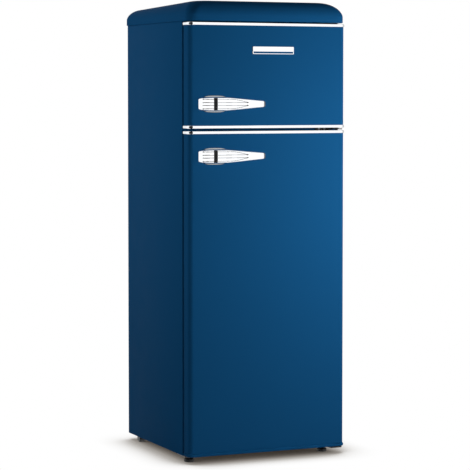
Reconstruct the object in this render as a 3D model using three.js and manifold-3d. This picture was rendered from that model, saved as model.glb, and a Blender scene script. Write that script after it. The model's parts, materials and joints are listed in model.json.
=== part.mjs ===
// Free-standing refrigerator with its freezer on top, in a rounded 1950s style.
// Millimetres, +Z up, doors facing -Y. The origin is on the floor, under the middle of the whole.
import * as THREE from "three";
import { mergeVertices } from "three/addons/utils/BufferGeometryUtils.js";
import Module from "manifold-3d";

const wasm = await Module();
wasm.setup();

// Driving dimensions ---------------------------------------------------------------------------

const GAP = 0.3; // between pieces that touch
const HALF_W = 275; // cabinet and doors
const CABINET_FRONT = -207.5;
const CABINET_BACK = 275.5;
const DOOR_BACK = -222;
const DOOR_FRONT = -265.5;
const DOOR_EDGE_R = 16;
const BASE_Z = 22;
const TOP_Z = 1409.2;
const SHEET = 1; // painted steel
const TRIM_GROW = 3; // how far the end trims stand proud of a door
const TRIM_H = 9.3;
const TRIM_PLATE = 3.3; // thickness of an end trim inside its rim

const FRIDGE_DOOR = { bottom: 24.4, top: 1061.1 };
const FREEZER_DOOR = { bottom: 1069.4, top: 1405.3 };

const CAP_BOTTOM = 1409.5;
const CAP_TOP = 1477.5;
const CAP_SKIRT = 18;
const CAP_ROUND = 52;
const CAP_CORNER_R = 34;
const CAP_CORNER_GROWTH = 0.18; // how fast the front corners widen as the cover draws in
const CAP_BACK_CORNER_R = 4;
const CAP_OVERHANG = 3;
const CAP_WALL = 6;
const CAP_BACK_DROP = 0.27; // how much of its rise the cover loses towards the back
const CAP_ROUNDNESS = 1.14; // 1 is an ellipse; more is flatter at 45 degrees

const CAVITY_X = 235; // half width inside both liners
const LINER = 1.5;
const FREEZER = { bottom: 1090, top: 1366, back: 215 };
const FRIDGE = { bottom: 70, top: 1038, back: 225, stepZ: 280, stepY: 65 };
const BAY = { front: 100, top: 239, halfW: 250, floor: 24 };

const PIN = { x: 257, y: -241.5, r: 4, hole: 4.8, depth: 25 };
const FEET = { left: [-250, -202], right: [225, -202] };
const ROLLER = { x: 255, y: 204, r: 10.5, halfW: 9 };

const DYKE = { inner: 186, outer: 212, wall: 2 };
const SHELF_FRONT = -105;
const GLASS = 4;
const SHELF_LEVELS = [451, 636, 821]; // undersides of the glass shelves
const COVER_Z = 271; // underside of the crisper's glass cover
const FREEZER_SHELF_Z = 1222;
const CRISPER = { halfW: 224, front: -100, back: 58, bottom: 76, top: 264, wall: 2.5 };
const CONTROL = { halfW: 95, front: -195, back: -60, bottom: 1002, top: 1037.7, knobX: 50, switchX: -70, z: 1020 };

const HANDLE_X = -198; // where a handle's lever is measured from
const HANDLE_BASE_X = -187; // middle of its base
const HANDLE_BASE_ROUNDNESS = 0.66; // power of the oval: 1 is an ellipse, less is fuller
const HANDLE_Z = { freezer: 1147, fridge: 981.5 };
const HANDLE_REACH = 36;

// Colours and finishes -------------------------------------------------------------------------

const finish = (color, roughness, metalness = 0, opacity = 1) =>
  new THREE.MeshStandardMaterial({ color, roughness, metalness, opacity, transparent: opacity < 1 });

const BLUE = finish(0x144876, 0.3, 0.1);
const CHROME = finish(0xe6e8ea, 0.1, 1);
const WHITE = finish(0xf1f3f2, 0.35);
const FOAM = finish(0xe8d9a0, 0.9);
const GASKET = finish(0xc9ccce, 0.7);
const GLASS_CLEAR = finish(0xcfe4e0, 0.05, 0, 0.35);
const CLEAR_PLASTIC = finish(0xdfeaf0, 0.2, 0, 0.5);
const BLACK_PLASTIC = finish(0x161718, 0.6);
const BLACK_METAL = finish(0x1b1c1e, 0.45, 0.5);
const ZINC = finish(0xb4b7ba, 0.4, 0.9);
const COPPER = finish(0xb87347, 0.35, 0.9);
const WHITE_WIRE = finish(0xf4f5f4, 0.4);

// Solids ---------------------------------------------------------------------------------------

function solidOf(geometry) {
  const bare = geometry.clone();
  bare.deleteAttribute("normal");
  bare.deleteAttribute("uv");
  const merged = mergeVertices(bare, 1e-4);
  const triVerts = new Uint32Array(merged.index.array);
  const vertProperties = new Float32Array(merged.attributes.position.array);
  return new wasm.Manifold(new wasm.Mesh({ numProp: 3, vertProperties, triVerts }));
}

function geometryOf(solid) {
  const mesh = solid.getMesh();
  const geometry = new THREE.BufferGeometry();
  geometry.setAttribute("position", new THREE.BufferAttribute(new Float32Array(mesh.vertProperties), 3));
  geometry.setIndex(new THREE.BufferAttribute(new Uint32Array(mesh.triVerts), 1));
  geometry.computeVertexNormals();
  return geometry;
}

function join(first, ...others) {
  return geometryOf(others.reduce((whole, other) => whole.add(solidOf(other)), solidOf(first)));
}

function cut(first, ...others) {
  return geometryOf(others.reduce((whole, other) => whole.subtract(solidOf(other)), solidOf(first)));
}

// A block from its lowest and highest x, y and z.
function block([x0, x1], [y0, y1], [z0, z1]) {
  const geometry = new THREE.BoxGeometry(x1 - x0, y1 - y0, z1 - z0);
  return geometry.translate((x0 + x1) / 2, (y0 + y1) / 2, (z0 + z1) / 2);
}

// An outline in x and y, raised from z0 to z1.
function prism(shape, z0, z1, curveSegments = 4) {
  const geometry = new THREE.ExtrudeGeometry(shape, { depth: z1 - z0, bevelEnabled: false, curveSegments });
  return geometry.translate(0, 0, z0);
}

// A plate in x and z that faces -Y: its outline is raised from y0, the back, to y1, the front.
function plateFacingFront(shape, y0, y1, curveSegments = 2) {
  return prism(shape, 0, y0 - y1, curveSegments).rotateX(Math.PI / 2).translate(0, y0, 0);
}

// A turned piece from [radius, height] pairs, about the Z axis.
function turned(profile, sides = 16) {
  const points = profile.map(([radius, height]) => new THREE.Vector2(radius, height));
  return new THREE.LatheGeometry(points, sides).rotateX(Math.PI / 2);
}

function post(x, y, z0, z1, radius, sides = 12) {
  return turned([[0, z0], [radius, z0], [radius, z1], [0, z1]], sides).translate(x, y, 0);
}

// The same, lying along Y from y0, the front, to y1.
function postAlongY(x, z, y0, y1, radius, sides = 12) {
  return post(0, 0, -y1, -y0, radius, sides).rotateX(Math.PI / 2).translate(x, 0, z);
}

function roundedRectangle([x0, x1], [y0, y1], radius) {
  const shape = new THREE.Shape();
  shape.absarc(x1 - radius, y0 + radius, radius, -Math.PI / 2, 0);
  shape.absarc(x1 - radius, y1 - radius, radius, 0, Math.PI / 2);
  shape.absarc(x0 + radius, y1 - radius, radius, Math.PI / 2, Math.PI);
  shape.absarc(x0 + radius, y0 + radius, radius, Math.PI, 1.5 * Math.PI);
  return shape;
}

// A closed solid through rings of equally many points, each ring turning left about the way ahead.
function loft(rings) {
  const count = rings[0].length;
  const positions = rings.flat().flatMap((point) => [point.x, point.y, point.z]);
  const index = [];
  for (let ring = 0; ring + 1 < rings.length; ring += 1) {
    for (let side = 0; side < count; side += 1) {
      const next = (side + 1) % count;
      const a = ring * count + side;
      const b = ring * count + next;
      index.push(a, b, b + count, a, b + count, a + count);
    }
  }
  const last = (rings.length - 1) * count;
  for (let side = 1; side + 1 < count; side += 1) {
    index.push(0, side + 1, side);
    index.push(last, last + side, last + side + 1);
  }
  const geometry = new THREE.BufferGeometry();
  geometry.setAttribute("position", new THREE.Float32BufferAttribute(positions, 3));
  geometry.setIndex(index);
  geometry.computeVertexNormals();
  return geometry;
}

// Path through given points, taken one step a point, for a tube.
class StepPath extends THREE.Curve {
  constructor(points) {
    super();
    this.points = points;
  }

  getPoint(t) {
    const place = t * (this.points.length - 1);
    const before = Math.min(Math.floor(place), this.points.length - 2);
    return this.points[before].clone().lerp(this.points[before + 1], place - before);
  }

  getPointAt(u) {
    return this.getPoint(u);
  }

  getTangentAt(u) {
    const place = Math.round(u * (this.points.length - 1));
    const after = this.points[Math.min(place + 1, this.points.length - 1)];
    return after.clone().sub(this.points[Math.max(place - 1, 0)]).normalize();
  }
}

function tube(points, radius, sides = 8) {
  const section = new THREE.Shape().absarc(0, 0, radius, 0, 2 * Math.PI);
  const path = new StepPath(points);
  return new THREE.ExtrudeGeometry(section, {
    steps: points.length - 1,
    extrudePath: path,
    curveSegments: sides / 2,
    bevelEnabled: false,
  });
}

const fridge = new THREE.Group();

function add(name, geometry, material, x = 0, y = 0, z = 0) {
  const mesh = new THREE.Mesh(geometry, material);
  mesh.name = name;
  mesh.position.set(x, y, z);
  fridge.add(mesh);
}

// Cabinet --------------------------------------------------------------------------------------

const insideX = HALF_W - SHEET;
const linerX = CAVITY_X + LINER;
const fullX = [-HALF_W - 10, HALF_W + 10];

// Folded steel: both sides and the top, with a flange turned in round the front.
function outerWrapper() {
  const opening = linerX + GAP;
  return cut(
    block([-HALF_W, HALF_W], [CABINET_FRONT, CABINET_BACK - 0.5], [BASE_Z, TOP_Z]),
    block([-insideX, insideX], [CABINET_FRONT + SHEET, CABINET_BACK + 5], [0, TOP_Z - SHEET]),
    block([-opening, opening], [CABINET_FRONT - 5, CABINET_FRONT + 5], [0, FREEZER.top + LINER + GAP]),
  );
}

// Back sheet, with a leg on each side of the compressor bay.
function rearPanel() {
  const x = insideX - GAP;
  const y = [CABINET_BACK - 1.5, CABINET_BACK - 0.3];
  return cut(
    block([-x, x], y, [BAY.floor + GAP, TOP_Z - SHEET - GAP]),
    block([-BAY.halfW, BAY.halfW], [y[0] - 5, y[1] + 5], [0, BAY.top + 1.3]),
  );
}

function basePan() {
  const x = insideX - GAP;
  const y = [CABINET_FRONT + SHEET + GAP, BAY.front - 1.6];
  return cut(
    join(
      block([-x, x], y, [BASE_Z, BASE_Z + SHEET]),
      block([-linerX, linerX], [CABINET_FRONT, CABINET_FRONT + 2], [BASE_Z, BASE_Z + SHEET]),
      block([-linerX, linerX], [CABINET_FRONT, CABINET_FRONT + SHEET], [BASE_Z, FRIDGE.bottom - LINER - GAP]),
    ),
    ...Object.values(FEET).map(([footX, footY]) => post(footX, footY, 0, 60, 3.6)),
  );
}

function frontCrossbar() {
  const z = [FRIDGE.top + LINER + GAP, FREEZER.bottom - LINER - GAP];
  return block([-linerX, linerX], [CABINET_FRONT, CABINET_FRONT + SHEET], z);
}

// Sheet lining of the compressor bay: its front, roof and two sides.
function bayPanel() {
  const x = BAY.halfW - GAP;
  return cut(
    block([-x, x], [BAY.front - 1, CABINET_BACK - 0.5], [BAY.floor + GAP, BAY.top]),
    block([1 - x, x - 1], [BAY.front, 300], [0, BAY.top - 1]),
  );
}

// The inside of the fridge compartment, grown by a margin: it steps forward over the compressor.
function fridgeSpace(margin, front) {
  const x = CAVITY_X + margin;
  const top = FRIDGE.top + margin;
  return join(
    block([-x, x], [front, FRIDGE.stepY + margin], [FRIDGE.bottom - margin, top]),
    block([-x, x], [front, FRIDGE.back + margin], [FRIDGE.stepZ - margin, top]),
  );
}

function freezerSpace(margin, front) {
  const x = CAVITY_X + margin;
  return block([-x, x], [front, FREEZER.back + margin], [FREEZER.bottom - margin, FREEZER.top + margin]);
}

// Low ribs on both side walls that a shelf lies on.
function ledges(shelfZ, back) {
  const z = [shelfZ - GAP - 5, shelfZ - GAP];
  return [-1, 1].map((side) => block([side * 232 - 3.4, side * 232 + 3.4], [SHELF_FRONT, back], z));
}

function insulation() {
  const x = insideX - GAP;
  const front = CABINET_FRONT + SHEET + GAP;
  return cut(
    block([-x, x], [front, CABINET_BACK - 1.8], [BASE_Z + SHEET + GAP, TOP_Z - SHEET - GAP]),
    freezerSpace(LINER + GAP, front - 5),
    fridgeSpace(LINER + GAP, front - 5),
    block([-BAY.halfW, BAY.halfW], [BAY.front - 1.3, 300], [0, BAY.top + 1.3]),
    block(fullX, [BAY.front - 1.3, 300], [0, BAY.floor + GAP]),
    block([-180, 180], [FREEZER.back, FREEZER.back + 5], [1110, 1340]),
    ...Object.values(FEET).map(([footX, footY]) => post(footX, footY, 0, 60, 3.6)),
  );
}

function freezerLiner() {
  return join(
    cut(freezerSpace(LINER, CABINET_FRONT + 0.3), freezerSpace(0, CABINET_FRONT - 5)),
    ...ledges(FREEZER_SHELF_Z, 205),
  );
}

function fridgeLiner() {
  return join(
    cut(fridgeSpace(LINER, CABINET_FRONT + 0.3), fridgeSpace(0, CABINET_FRONT - 5)),
    ...SHELF_LEVELS.flatMap((z) => ledges(z, 213)),
    ...ledges(COVER_Z, 60),
  );
}

// Pillow-shaped cover: rings that draw in towards the top at the front and sides. Its back is flat
// and lower than its front.
function pillow(inset, floor, height) {
  const corner = 5;
  const rise = 7;
  const halfX = HALF_W + CAP_OVERHANG - inset;
  const front = DOOR_FRONT - CAP_OVERHANG + inset;
  const back = CABINET_BACK + 2 - inset;
  const skirtTop = CAP_BOTTOM + CAP_SKIRT;
  const ring = (z, drawn) => {
    const big = CAP_CORNER_R - inset + CAP_CORNER_GROWTH * drawn;
    const small = CAP_BACK_CORNER_R - inset / 2;
    const x = halfX - drawn;
    const corners = [
      [x - big, front + drawn + big, big],
      [x - small, back - small, small],
      [small - x, back - small, small],
      [big - x, front + drawn + big, big],
    ];
    return corners.flatMap(([cx, cy, radius], quarter) =>
      Array.from({ length: corner }, (_, step) => {
        const angle = (quarter - 1 + step / (corner - 1)) * Math.PI / 2;
        const y = cy + radius * Math.sin(angle);
        const drop = Math.max(z - skirtTop, 0) * CAP_BACK_DROP * (y - front) / (back - front);
        return new THREE.Vector3(cx + radius * Math.cos(angle), y, z - drop);
      }),
    );
  };
  const rings = [ring(floor, 0)];
  for (let step = 0; step <= rise; step += 1) {
    const angle = (step / rise) * Math.PI / 2;
    const lift = Math.sin(angle) ** CAP_ROUNDNESS;
    const drawn = 1 - Math.max(Math.cos(angle), 0) ** CAP_ROUNDNESS;
    rings.push(ring(skirtTop + (height - skirtTop) * lift, CAP_ROUND * drawn));
  }
  return loft(rings);
}

function topCap() {
  return cut(pillow(0, CAP_BOTTOM, CAP_TOP), pillow(CAP_WALL, CAP_BOTTOM - 5, CAP_TOP - 3));
}

add("outer_wrapper", outerWrapper(), BLUE);
add("rear_panel", rearPanel(), ZINC);
add("base_pan", basePan(), BLUE);
add("front_crossbar", frontCrossbar(), BLUE);
add("compressor_bay_panel", bayPanel(), ZINC);
add("insulation_foam", insulation(), FOAM);
add("freezer_liner", freezerLiner(), WHITE);
add("fridge_liner", fridgeLiner(), WHITE);
add("top_cap", topCap(), BLUE);

// Inside the compartments ----------------------------------------------------------------------

// Rack of bars that run from front to back in a frame.
function freezerShelf() {
  const slots = 14;
  const x = CAVITY_X - 0.5;
  const pitch = (2 * x - 8) / slots;
  const openings = Array.from({ length: slots }, (_, slot) => {
    const left = -x + 6 + slot * pitch;
    return block([left, left + pitch - 4], [-98, 193], [-5, 9]);
  });
  return cut(prism(roundedRectangle([-x, x], [-110, 205], 8), 0, 4, 3), ...openings);
}

function glassSheet(back) {
  return prism(roundedRectangle([-232, 232], [SHELF_FRONT, back], 6), 0, GLASS, 3);
}

// An open box: outside walls, and the space inside it.
function tray([x0, x1], [y0, y1], [z0, z1], wall, radius) {
  return cut(
    prism(roundedRectangle([x0, x1], [y0, y1], radius), z0, z1, 2),
    prism(roundedRectangle([x0 + wall, x1 - wall], [y0 + wall, y1 - wall], radius - wall), z0 + wall, z1 + 5, 2),
  );
}

function crisperDrawer() {
  const { halfW, front, back, bottom, top, wall } = CRISPER;
  return tray([-halfW, halfW], [front, back], [bottom, top], wall, 8);
}

function controlHousing() {
  const { halfW, front, back, bottom, top, knobX, switchX, z } = CONTROL;
  return cut(
    block([-halfW, halfW], [front, back], [bottom, top]),
    block([-45, 20], [-150, -70], [bottom - 5, bottom + 28]),
    postAlongY(knobX, z, front - 5, front + 16, 3.5),
    postAlongY(switchX, z, front - 5, front + 17, 4.6),
  );
}

function thermostatKnob() {
  const front = -207 - CONTROL.front;
  return turned([[0, -15], [3, -15], [3, 0.3], [18, 0.3], [17, -front], [0, -front]], 18).rotateX(Math.PI / 2);
}

add("freezer_shelf", freezerShelf(), WHITE_WIRE, 0, 0, FREEZER_SHELF_Z);
SHELF_LEVELS.forEach((z, level) => add(`glass_shelf_${level + 1}`, glassSheet(213), GLASS_CLEAR, 0, 0, z));
add("crisper_cover", glassSheet(60), GLASS_CLEAR, 0, 0, COVER_Z);
add("crisper_drawer", crisperDrawer(), CLEAR_PLASTIC);
add("control_housing", controlHousing(), WHITE);
add("lamp_lens", block([-44.7, 19.7], [-149.7, -70.3], [CONTROL.bottom - 3, CONTROL.bottom + 3]), CLEAR_PLASTIC);
add("thermostat_knob", thermostatKnob(), WHITE, CONTROL.knobX, CONTROL.front, CONTROL.z);
add("lamp_switch", postAlongY(CONTROL.switchX, CONTROL.z, DOOR_BACK + 0.4, -185, 4), WHITE);

// Cooling circuit ------------------------------------------------------------------------------

function compressorPlate() {
  const ears = [];
  for (const side of [-1, 1]) {
    for (const offset of [-ROLLER.halfW - 1.5, ROLLER.halfW + 1.5]) {
      const x = side * ROLLER.x + offset;
      ears.push(block([x - 1.1, x + 1.1], [ROLLER.y - 10, ROLLER.y + 10], [5, BASE_Z + 0.5]));
    }
    const axle = post(0, 0, -ROLLER.halfW - 1.5, ROLLER.halfW + 1.5, 3).rotateY(Math.PI / 2);
    ears.push(axle.translate(side * ROLLER.x, ROLLER.y, ROLLER.r));
  }
  return cut(
    join(
      block([-273, 273], [BAY.front + GAP, 266], [BASE_Z, BAY.floor]),
      block([-230, 230], [264, 266], [BASE_Z, 52]),
      ...ears,
    ),
    postAlongY(180, 38, 255, 275, 6.3),
  );
}

function roller() {
  const { r, halfW } = ROLLER;
  const rim = [[3.4, -halfW], [r - 1, -halfW], [r, -halfW + 1], [r, halfW - 1], [r - 1, halfW], [3.4, halfW]];
  return turned([...rim, rim[0]], 20).rotateY(Math.PI / 2);
}

// Welded steel pot on a foot plate with four rubber feet.
function compressor() {
  const pot = [[0, 31], [52, 31], [60, 40], [62, 55], [62, 104], [64, 105], [64, 110], [61, 112]];
  pot.push([59, 145], [48, 166], [28, 178], [0, 181]);
  const corners = [[-68, -48], [68, -48], [68, 48], [-68, 48]];
  return join(
    turned(pot, 20),
    block([-78, 78], [-58, 58], [28.5, 32]),
    ...corners.map(([x, y]) => post(x, y, BAY.floor + GAP, 30, 9, 8)),
  );
}

function filterDryer() {
  return turned([[0, 70], [3, 70], [3, 80], [9, 88], [9, 152], [3, 160], [3, 172], [0, 172]], 12);
}

// One steel tube that runs to and fro across the back.
function condenserCoil() {
  const runs = 15;
  const pitch = 68;
  const bend = pitch / 2;
  const bottomZ = 330;
  const reach = 185;
  const points = [];
  for (let run = 0; run < runs; run += 1) {
    const side = run % 2 === 0 ? 1 : -1;
    const z = bottomZ + run * pitch;
    points.push(new THREE.Vector3(-side * reach, 299, z));
    if (run === runs - 1) {
      points.push(new THREE.Vector3(side * reach, 299, z));
      break;
    }
    for (let step = 0; step < 5; step += 1) {
      const angle = -Math.PI / 2 + step * Math.PI / 5;
      const x = side * (reach + bend * Math.cos(angle));
      points.push(new THREE.Vector3(x, 299, z + bend + bend * Math.sin(angle)));
    }
  }
  return tube(points, 2.5);
}

function condenserBracket() {
  const legs = [290, 800, 1310].map((z) => block([-7, 7], [CABINET_BACK, 295], [z - 10, z + 10]));
  return join(block([-7, 7], [294, 296.2], [270, 1330]), ...legs);
}

add("compressor_plate", compressorPlate(), ZINC);
for (const [name, side] of [["left", -1], ["right", 1]]) {
  add(`roller_${name}`, roller(), BLACK_PLASTIC, side * ROLLER.x, ROLLER.y, ROLLER.r);
  add(`condenser_bracket_${name}`, condenserBracket(), BLACK_METAL, side * 150);
}
add("compressor", compressor(), BLACK_METAL, -80, 185);
add("relay_box", block([-15, 20], [160, 212], [75, 140]), BLACK_PLASTIC);
add("filter_dryer", filterDryer(), COPPER, 110, 235);
add("drip_tray", tray([-150, -10], [122, 248], [184, 212], 2, 10), BLACK_PLASTIC);
const glandProfile = [[0, -258], [6, -258], [6, -266.3], [10, -266.3], [10, -269], [5, -269], [4, -280], [0, -280]];
add("mains_gland", turned(glandProfile.reverse(), 12).rotateX(Math.PI / 2), BLACK_PLASTIC, 180, 0, 38);
add("condenser_coil", condenserCoil(), BLACK_METAL);
add("freezer_evaporator", block([-178, 178], [217.1, 219.4], [1112, 1338]), ZINC);

// Hinges and feet ------------------------------------------------------------------------------

const pinPost = (z0, z1) => post(PIN.x, PIN.y, z0, z1, PIN.r);
const pinHole = (z0, z1) => post(PIN.x, PIN.y, z0, z1, PIN.hole);

function topHinge() {
  const z = [CAP_BOTTOM, CAP_BOTTOM + 3];
  return join(
    block([226, 266], [-250, -130], z),
    pinPost(FREEZER_DOOR.top - PIN.depth, CAP_BOTTOM + 1),
  );
}

function middleHinge() {
  const z = [1063.7, 1066.7];
  return join(
    block([236, 271], [-258, CABINET_FRONT - GAP], z),
    block([196, 246], [CABINET_FRONT - 2.8, CABINET_FRONT - GAP], [1059, 1071]),
    pinPost(FRIDGE_DOOR.top - PIN.depth, FREEZER_DOOR.bottom + PIN.depth),
  );
}

function bottomHinge() {
  const z = [18, BASE_Z - GAP];
  return cut(
    join(
      block([228, 272], [-258, -150], z),
      block([205, 240], [-222, -150], z),
      pinPost(19, FRIDGE_DOOR.bottom + PIN.depth),
    ),
    post(...FEET.right, 0, 60, 3.6),
  );
}

function footBracket() {
  return cut(block([-272, -228], [-222, -150], [18, BASE_Z - GAP]), post(...FEET.left, 0, 60, 3.6));
}

// Panhead screw that faces -Y.
function hingeScrew() {
  return turned([[0, 0], [4.2, 0], [4.2, 1.4], [2.6, 2.4], [0, 2.4]], 12).rotateX(Math.PI / 2);
}

function levellingFoot() {
  const profile = [[0, 0], [14.5, 0], [16, 1.5], [16, 9], [14, 12], [8, 12], [8, 17.7], [3, 17.7], [3, 45], [0, 45]];
  return turned(profile, 20);
}

add("top_hinge", topHinge(), ZINC);
add("middle_hinge", middleHinge(), BLACK_METAL);
add("bottom_hinge", bottomHinge(), BLACK_METAL);
add("foot_bracket", footBracket(), BLACK_METAL);
[207, 227].forEach((x, screw) =>
  add(`hinge_screw_${screw + 1}`, hingeScrew(), ZINC, x, CABINET_FRONT - 2.8 - GAP, 1065.2));
for (const [name, [x, y]] of Object.entries(FEET)) {
  add(`levelling_foot_${name}`, levellingFoot(), BLACK_PLASTIC, x, y);
}

// Doors ----------------------------------------------------------------------------------------

// A door seen from above: round front edges, straight sides, open side at the back.
function doorOutline(grow, back) {
  const x = HALF_W + grow;
  const front = DOOR_FRONT - grow;
  const radius = DOOR_EDGE_R + grow;
  const shape = new THREE.Shape();
  shape.moveTo(-x, back);
  shape.absarc(-x + radius, front + radius, radius, Math.PI, 1.5 * Math.PI);
  shape.absarc(x - radius, front + radius, radius, 1.5 * Math.PI, 2 * Math.PI);
  shape.lineTo(x, back);
  return shape;
}

function doorSkin(z0, z1) {
  return cut(prism(doorOutline(0, DOOR_BACK), z0, z1), prism(doorOutline(-SHEET, DOOR_BACK + 5), z0 - 5, z1 + 5));
}

function doorFoam(z0, z1) {
  return cut(
    prism(doorOutline(-SHEET - GAP, DOOR_BACK - 2 - GAP), z0, z1),
    pinHole(z0 - 5, z0 + 20),
    pinHole(z1 - 20, z1 + 5),
  );
}

// Trim that closes one end of a door: a plate with a deep rim, hollow over pocketZ.
function doorEnd(z0, pocketZ) {
  const pocket = prism(doorOutline(-3, DOOR_BACK - 6), ...pocketZ);
  return cut(prism(doorOutline(TRIM_GROW, DOOR_BACK), z0, z0 + TRIM_H), pocket, pinHole(z0 - 5, z0 + 20));
}

// Inner panel with two hollow upright ribs that carry the door shelves.
function doorLiner(z0, z1, dykeZ, depth) {
  const { inner, outer, wall } = DYKE;
  const x = insideX - GAP;
  const ribs = [-1, 1].map((side) => {
    const middle = (side * (inner + outer)) / 2;
    const half = (outer - inner) / 2;
    return { middle, half };
  });
  return cut(
    join(
      block([-x, x], [DOOR_BACK - 2, DOOR_BACK], [z0, z1]),
      ...ribs.map(({ middle, half }) => block([middle - half, middle + half], [DOOR_BACK - 1, depth], dykeZ)),
    ),
    ...ribs.map(({ middle, half }) =>
      block(
        [middle - half + wall, middle + half - wall],
        [DOOR_BACK - 5, depth - wall],
        [dykeZ[0] + wall, dykeZ[1] - wall],
      )),
  );
}

// Magnetic seal: a soft frame between the door and the cabinet.
function gasket(z0, z1) {
  const width = 13;
  const shape = roundedRectangle([-252, 252], [z0, z1], 8);
  const inner = roundedRectangle([-252 + width, 252 - width], [z0 + width, z1 - width], 3);
  shape.holes.push(new THREE.Path(inner.getPoints(2).reverse()));
  return plateFacingFront(shape, CABINET_FRONT - GAP, DOOR_BACK + GAP);
}

// The base of a handle: a full oval plate with a bevelled rim, middle at the origin, back at y = 0.
function handleBase() {
  const ring = (halfX, halfZ, y) =>
    Array.from({ length: 24 }, (_, step) => {
      const angle = (step / 24) * 2 * Math.PI;
      const along = Math.sign(Math.cos(angle)) * Math.abs(Math.cos(angle)) ** HANDLE_BASE_ROUNDNESS;
      const across = Math.sign(Math.sin(angle)) * Math.abs(Math.sin(angle)) ** HANDLE_BASE_ROUNDNESS;
      return new THREE.Vector3(halfX * along, y, halfZ * across);
    });
  return loft([ring(49.5, 27, -GAP), ring(49.5, 27, -2.4), ring(46.5, 24, -4.7)]);
}

// Arched lever from the left end, over its knee, to the tip. Each section is a flattened oval:
// place along x, underside and crown measured out from the door, half width.
const LEVER_SECTIONS = [
  [-49.6, 7.5, 9.5, 13],
  [-46.8, 5.4, 17, 18],
  [-41.2, 5, 28.4, 20.6],
  [-38, 5, 30.2, 21],
  [-10, 5, 33.5, 22.9],
  [6, 5, HANDLE_REACH, 22.9],
  [28, 5, 35.4, 22.6],
  [42, 19, 34.6, 22],
  [90, 19.5, 31.6, 18],
  [140, 17.5, 28, 13.8],
  [171, 15, 25, 11.2],
  [178, 15.5, 22, 9.5],
];

function handleLever() {
  const sides = 14;
  const squareness = 0.62;
  const swell = (value) => Math.sign(value) * Math.abs(value) ** squareness;
  return loft(LEVER_SECTIONS.map(([x, low, high, half]) =>
    Array.from({ length: sides }, (_, step) => {
      const angle = ((step + 0.5) / sides) * 2 * Math.PI;
      const y = -(low + high) / 2 + ((high - low) / 2) * swell(Math.cos(angle)) / swell(Math.cos(Math.PI / sides));
      return new THREE.Vector3(x, y, half * swell(Math.sin(angle)));
    })));
}

// Blank nameplate: a bar over a thin line, joined at both ends.
function nameplate() {
  const shape = roundedRectangle([-72.5, 72.5], [-12, 12], 2);
  const hole = new THREE.Path(roundedRectangle([-69.5, 69.5], [-9.5, -4], 1).getPoints(2).reverse());
  shape.holes.push(hole);
  return plateFacingFront(shape, -GAP, -2.3);
}

function addDoor(name, { bottom, top }, dykeZ, dykeDepth, gasketZ, handleZ) {
  const z0 = bottom + TRIM_H + GAP;
  const z1 = top - TRIM_H - GAP;
  const bottomEnd = doorEnd(bottom, [bottom + TRIM_PLATE, bottom + TRIM_H + 1]);
  const topEnd = doorEnd(top - TRIM_H, [top - TRIM_H - 1, top - TRIM_PLATE]);
  add(`${name}_door_skin`, doorSkin(z0, z1), BLUE);
  add(`${name}_door_foam`, doorFoam(z0, z1), FOAM);
  add(`${name}_door_liner`, doorLiner(z0, z1, dykeZ, dykeDepth), WHITE);
  add(`${name}_door_top_trim`, topEnd, CHROME);
  add(`${name}_door_bottom_trim`, bottomEnd, name === "freezer" ? CHROME : BLUE);
  add(`${name}_door_gasket`, gasket(...gasketZ), GASKET);
  add(`${name}_handle_base`, handleBase(), CHROME, HANDLE_BASE_X, DOOR_FRONT, handleZ);
  add(`${name}_handle`, handleLever(), CHROME, HANDLE_X, DOOR_FRONT, handleZ);
}

const balcony = (depth, z0, z1) => {
  const x = DYKE.inner - GAP;
  return tray([-x, x], [DOOR_BACK + GAP, depth], [z0, z1], 2.5, 6);
};

addDoor("freezer", FREEZER_DOOR, [1100, 1356], -140, [1076, 1382], HANDLE_Z.freezer);
addDoor("fridge", FRIDGE_DOOR, [85, 1015], -125, [55, 1053], HANDLE_Z.fridge);
add("freezer_door_balcony", balcony(-138, 1106, 1166), CLEAR_PLASTIC);
add("bottle_balcony", balcony(-122, 92, 172), CLEAR_PLASTIC);
add("door_balcony_middle", balcony(-122, 440, 500), CLEAR_PLASTIC);
add("door_balcony_upper", balcony(-122, 730, 790), CLEAR_PLASTIC);
add("nameplate", nameplate(), CHROME, 17, DOOR_FRONT, 1318);

export default fridge;
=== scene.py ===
"""Looks of the top freezer refrigerator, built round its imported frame.

Shapes are worked out in millimetres, in the row frame, as (vertices, faces) pairs, and become
objects in metres in piece(). The doors face -Y and their hinges are on the +X side.
"""
import json
from math import copysign, cos, hypot, pi, radians, sin, sqrt, tan

import bmesh
import bpy
from mathutils import Matrix, Vector


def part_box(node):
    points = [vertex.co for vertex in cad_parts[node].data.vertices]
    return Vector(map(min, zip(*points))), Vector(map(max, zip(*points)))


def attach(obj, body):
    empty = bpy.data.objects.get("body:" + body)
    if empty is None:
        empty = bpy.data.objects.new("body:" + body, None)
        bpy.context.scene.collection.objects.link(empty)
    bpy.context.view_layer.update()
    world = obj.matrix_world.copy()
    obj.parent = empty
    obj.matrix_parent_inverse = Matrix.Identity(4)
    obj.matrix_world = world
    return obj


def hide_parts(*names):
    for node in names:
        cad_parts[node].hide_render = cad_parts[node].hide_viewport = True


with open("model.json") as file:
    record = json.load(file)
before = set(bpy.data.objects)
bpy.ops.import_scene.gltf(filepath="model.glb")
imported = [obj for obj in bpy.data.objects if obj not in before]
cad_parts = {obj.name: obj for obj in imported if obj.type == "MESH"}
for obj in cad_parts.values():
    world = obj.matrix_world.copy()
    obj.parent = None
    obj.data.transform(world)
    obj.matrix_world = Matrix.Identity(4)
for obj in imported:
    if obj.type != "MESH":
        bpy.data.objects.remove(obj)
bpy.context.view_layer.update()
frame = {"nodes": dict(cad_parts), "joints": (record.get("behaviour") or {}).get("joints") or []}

MM = 0.001
# What neighbouring CAD nodes leave between them.
GAP = 0.3
# Round of the doors' upright edges.
DOOR_CORNER = 16
# The hinge axis that both doors share.
PIN_X, PIN_Y = (c / MM for c in frame["joints"][0]["pos_m"][:2])


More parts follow.
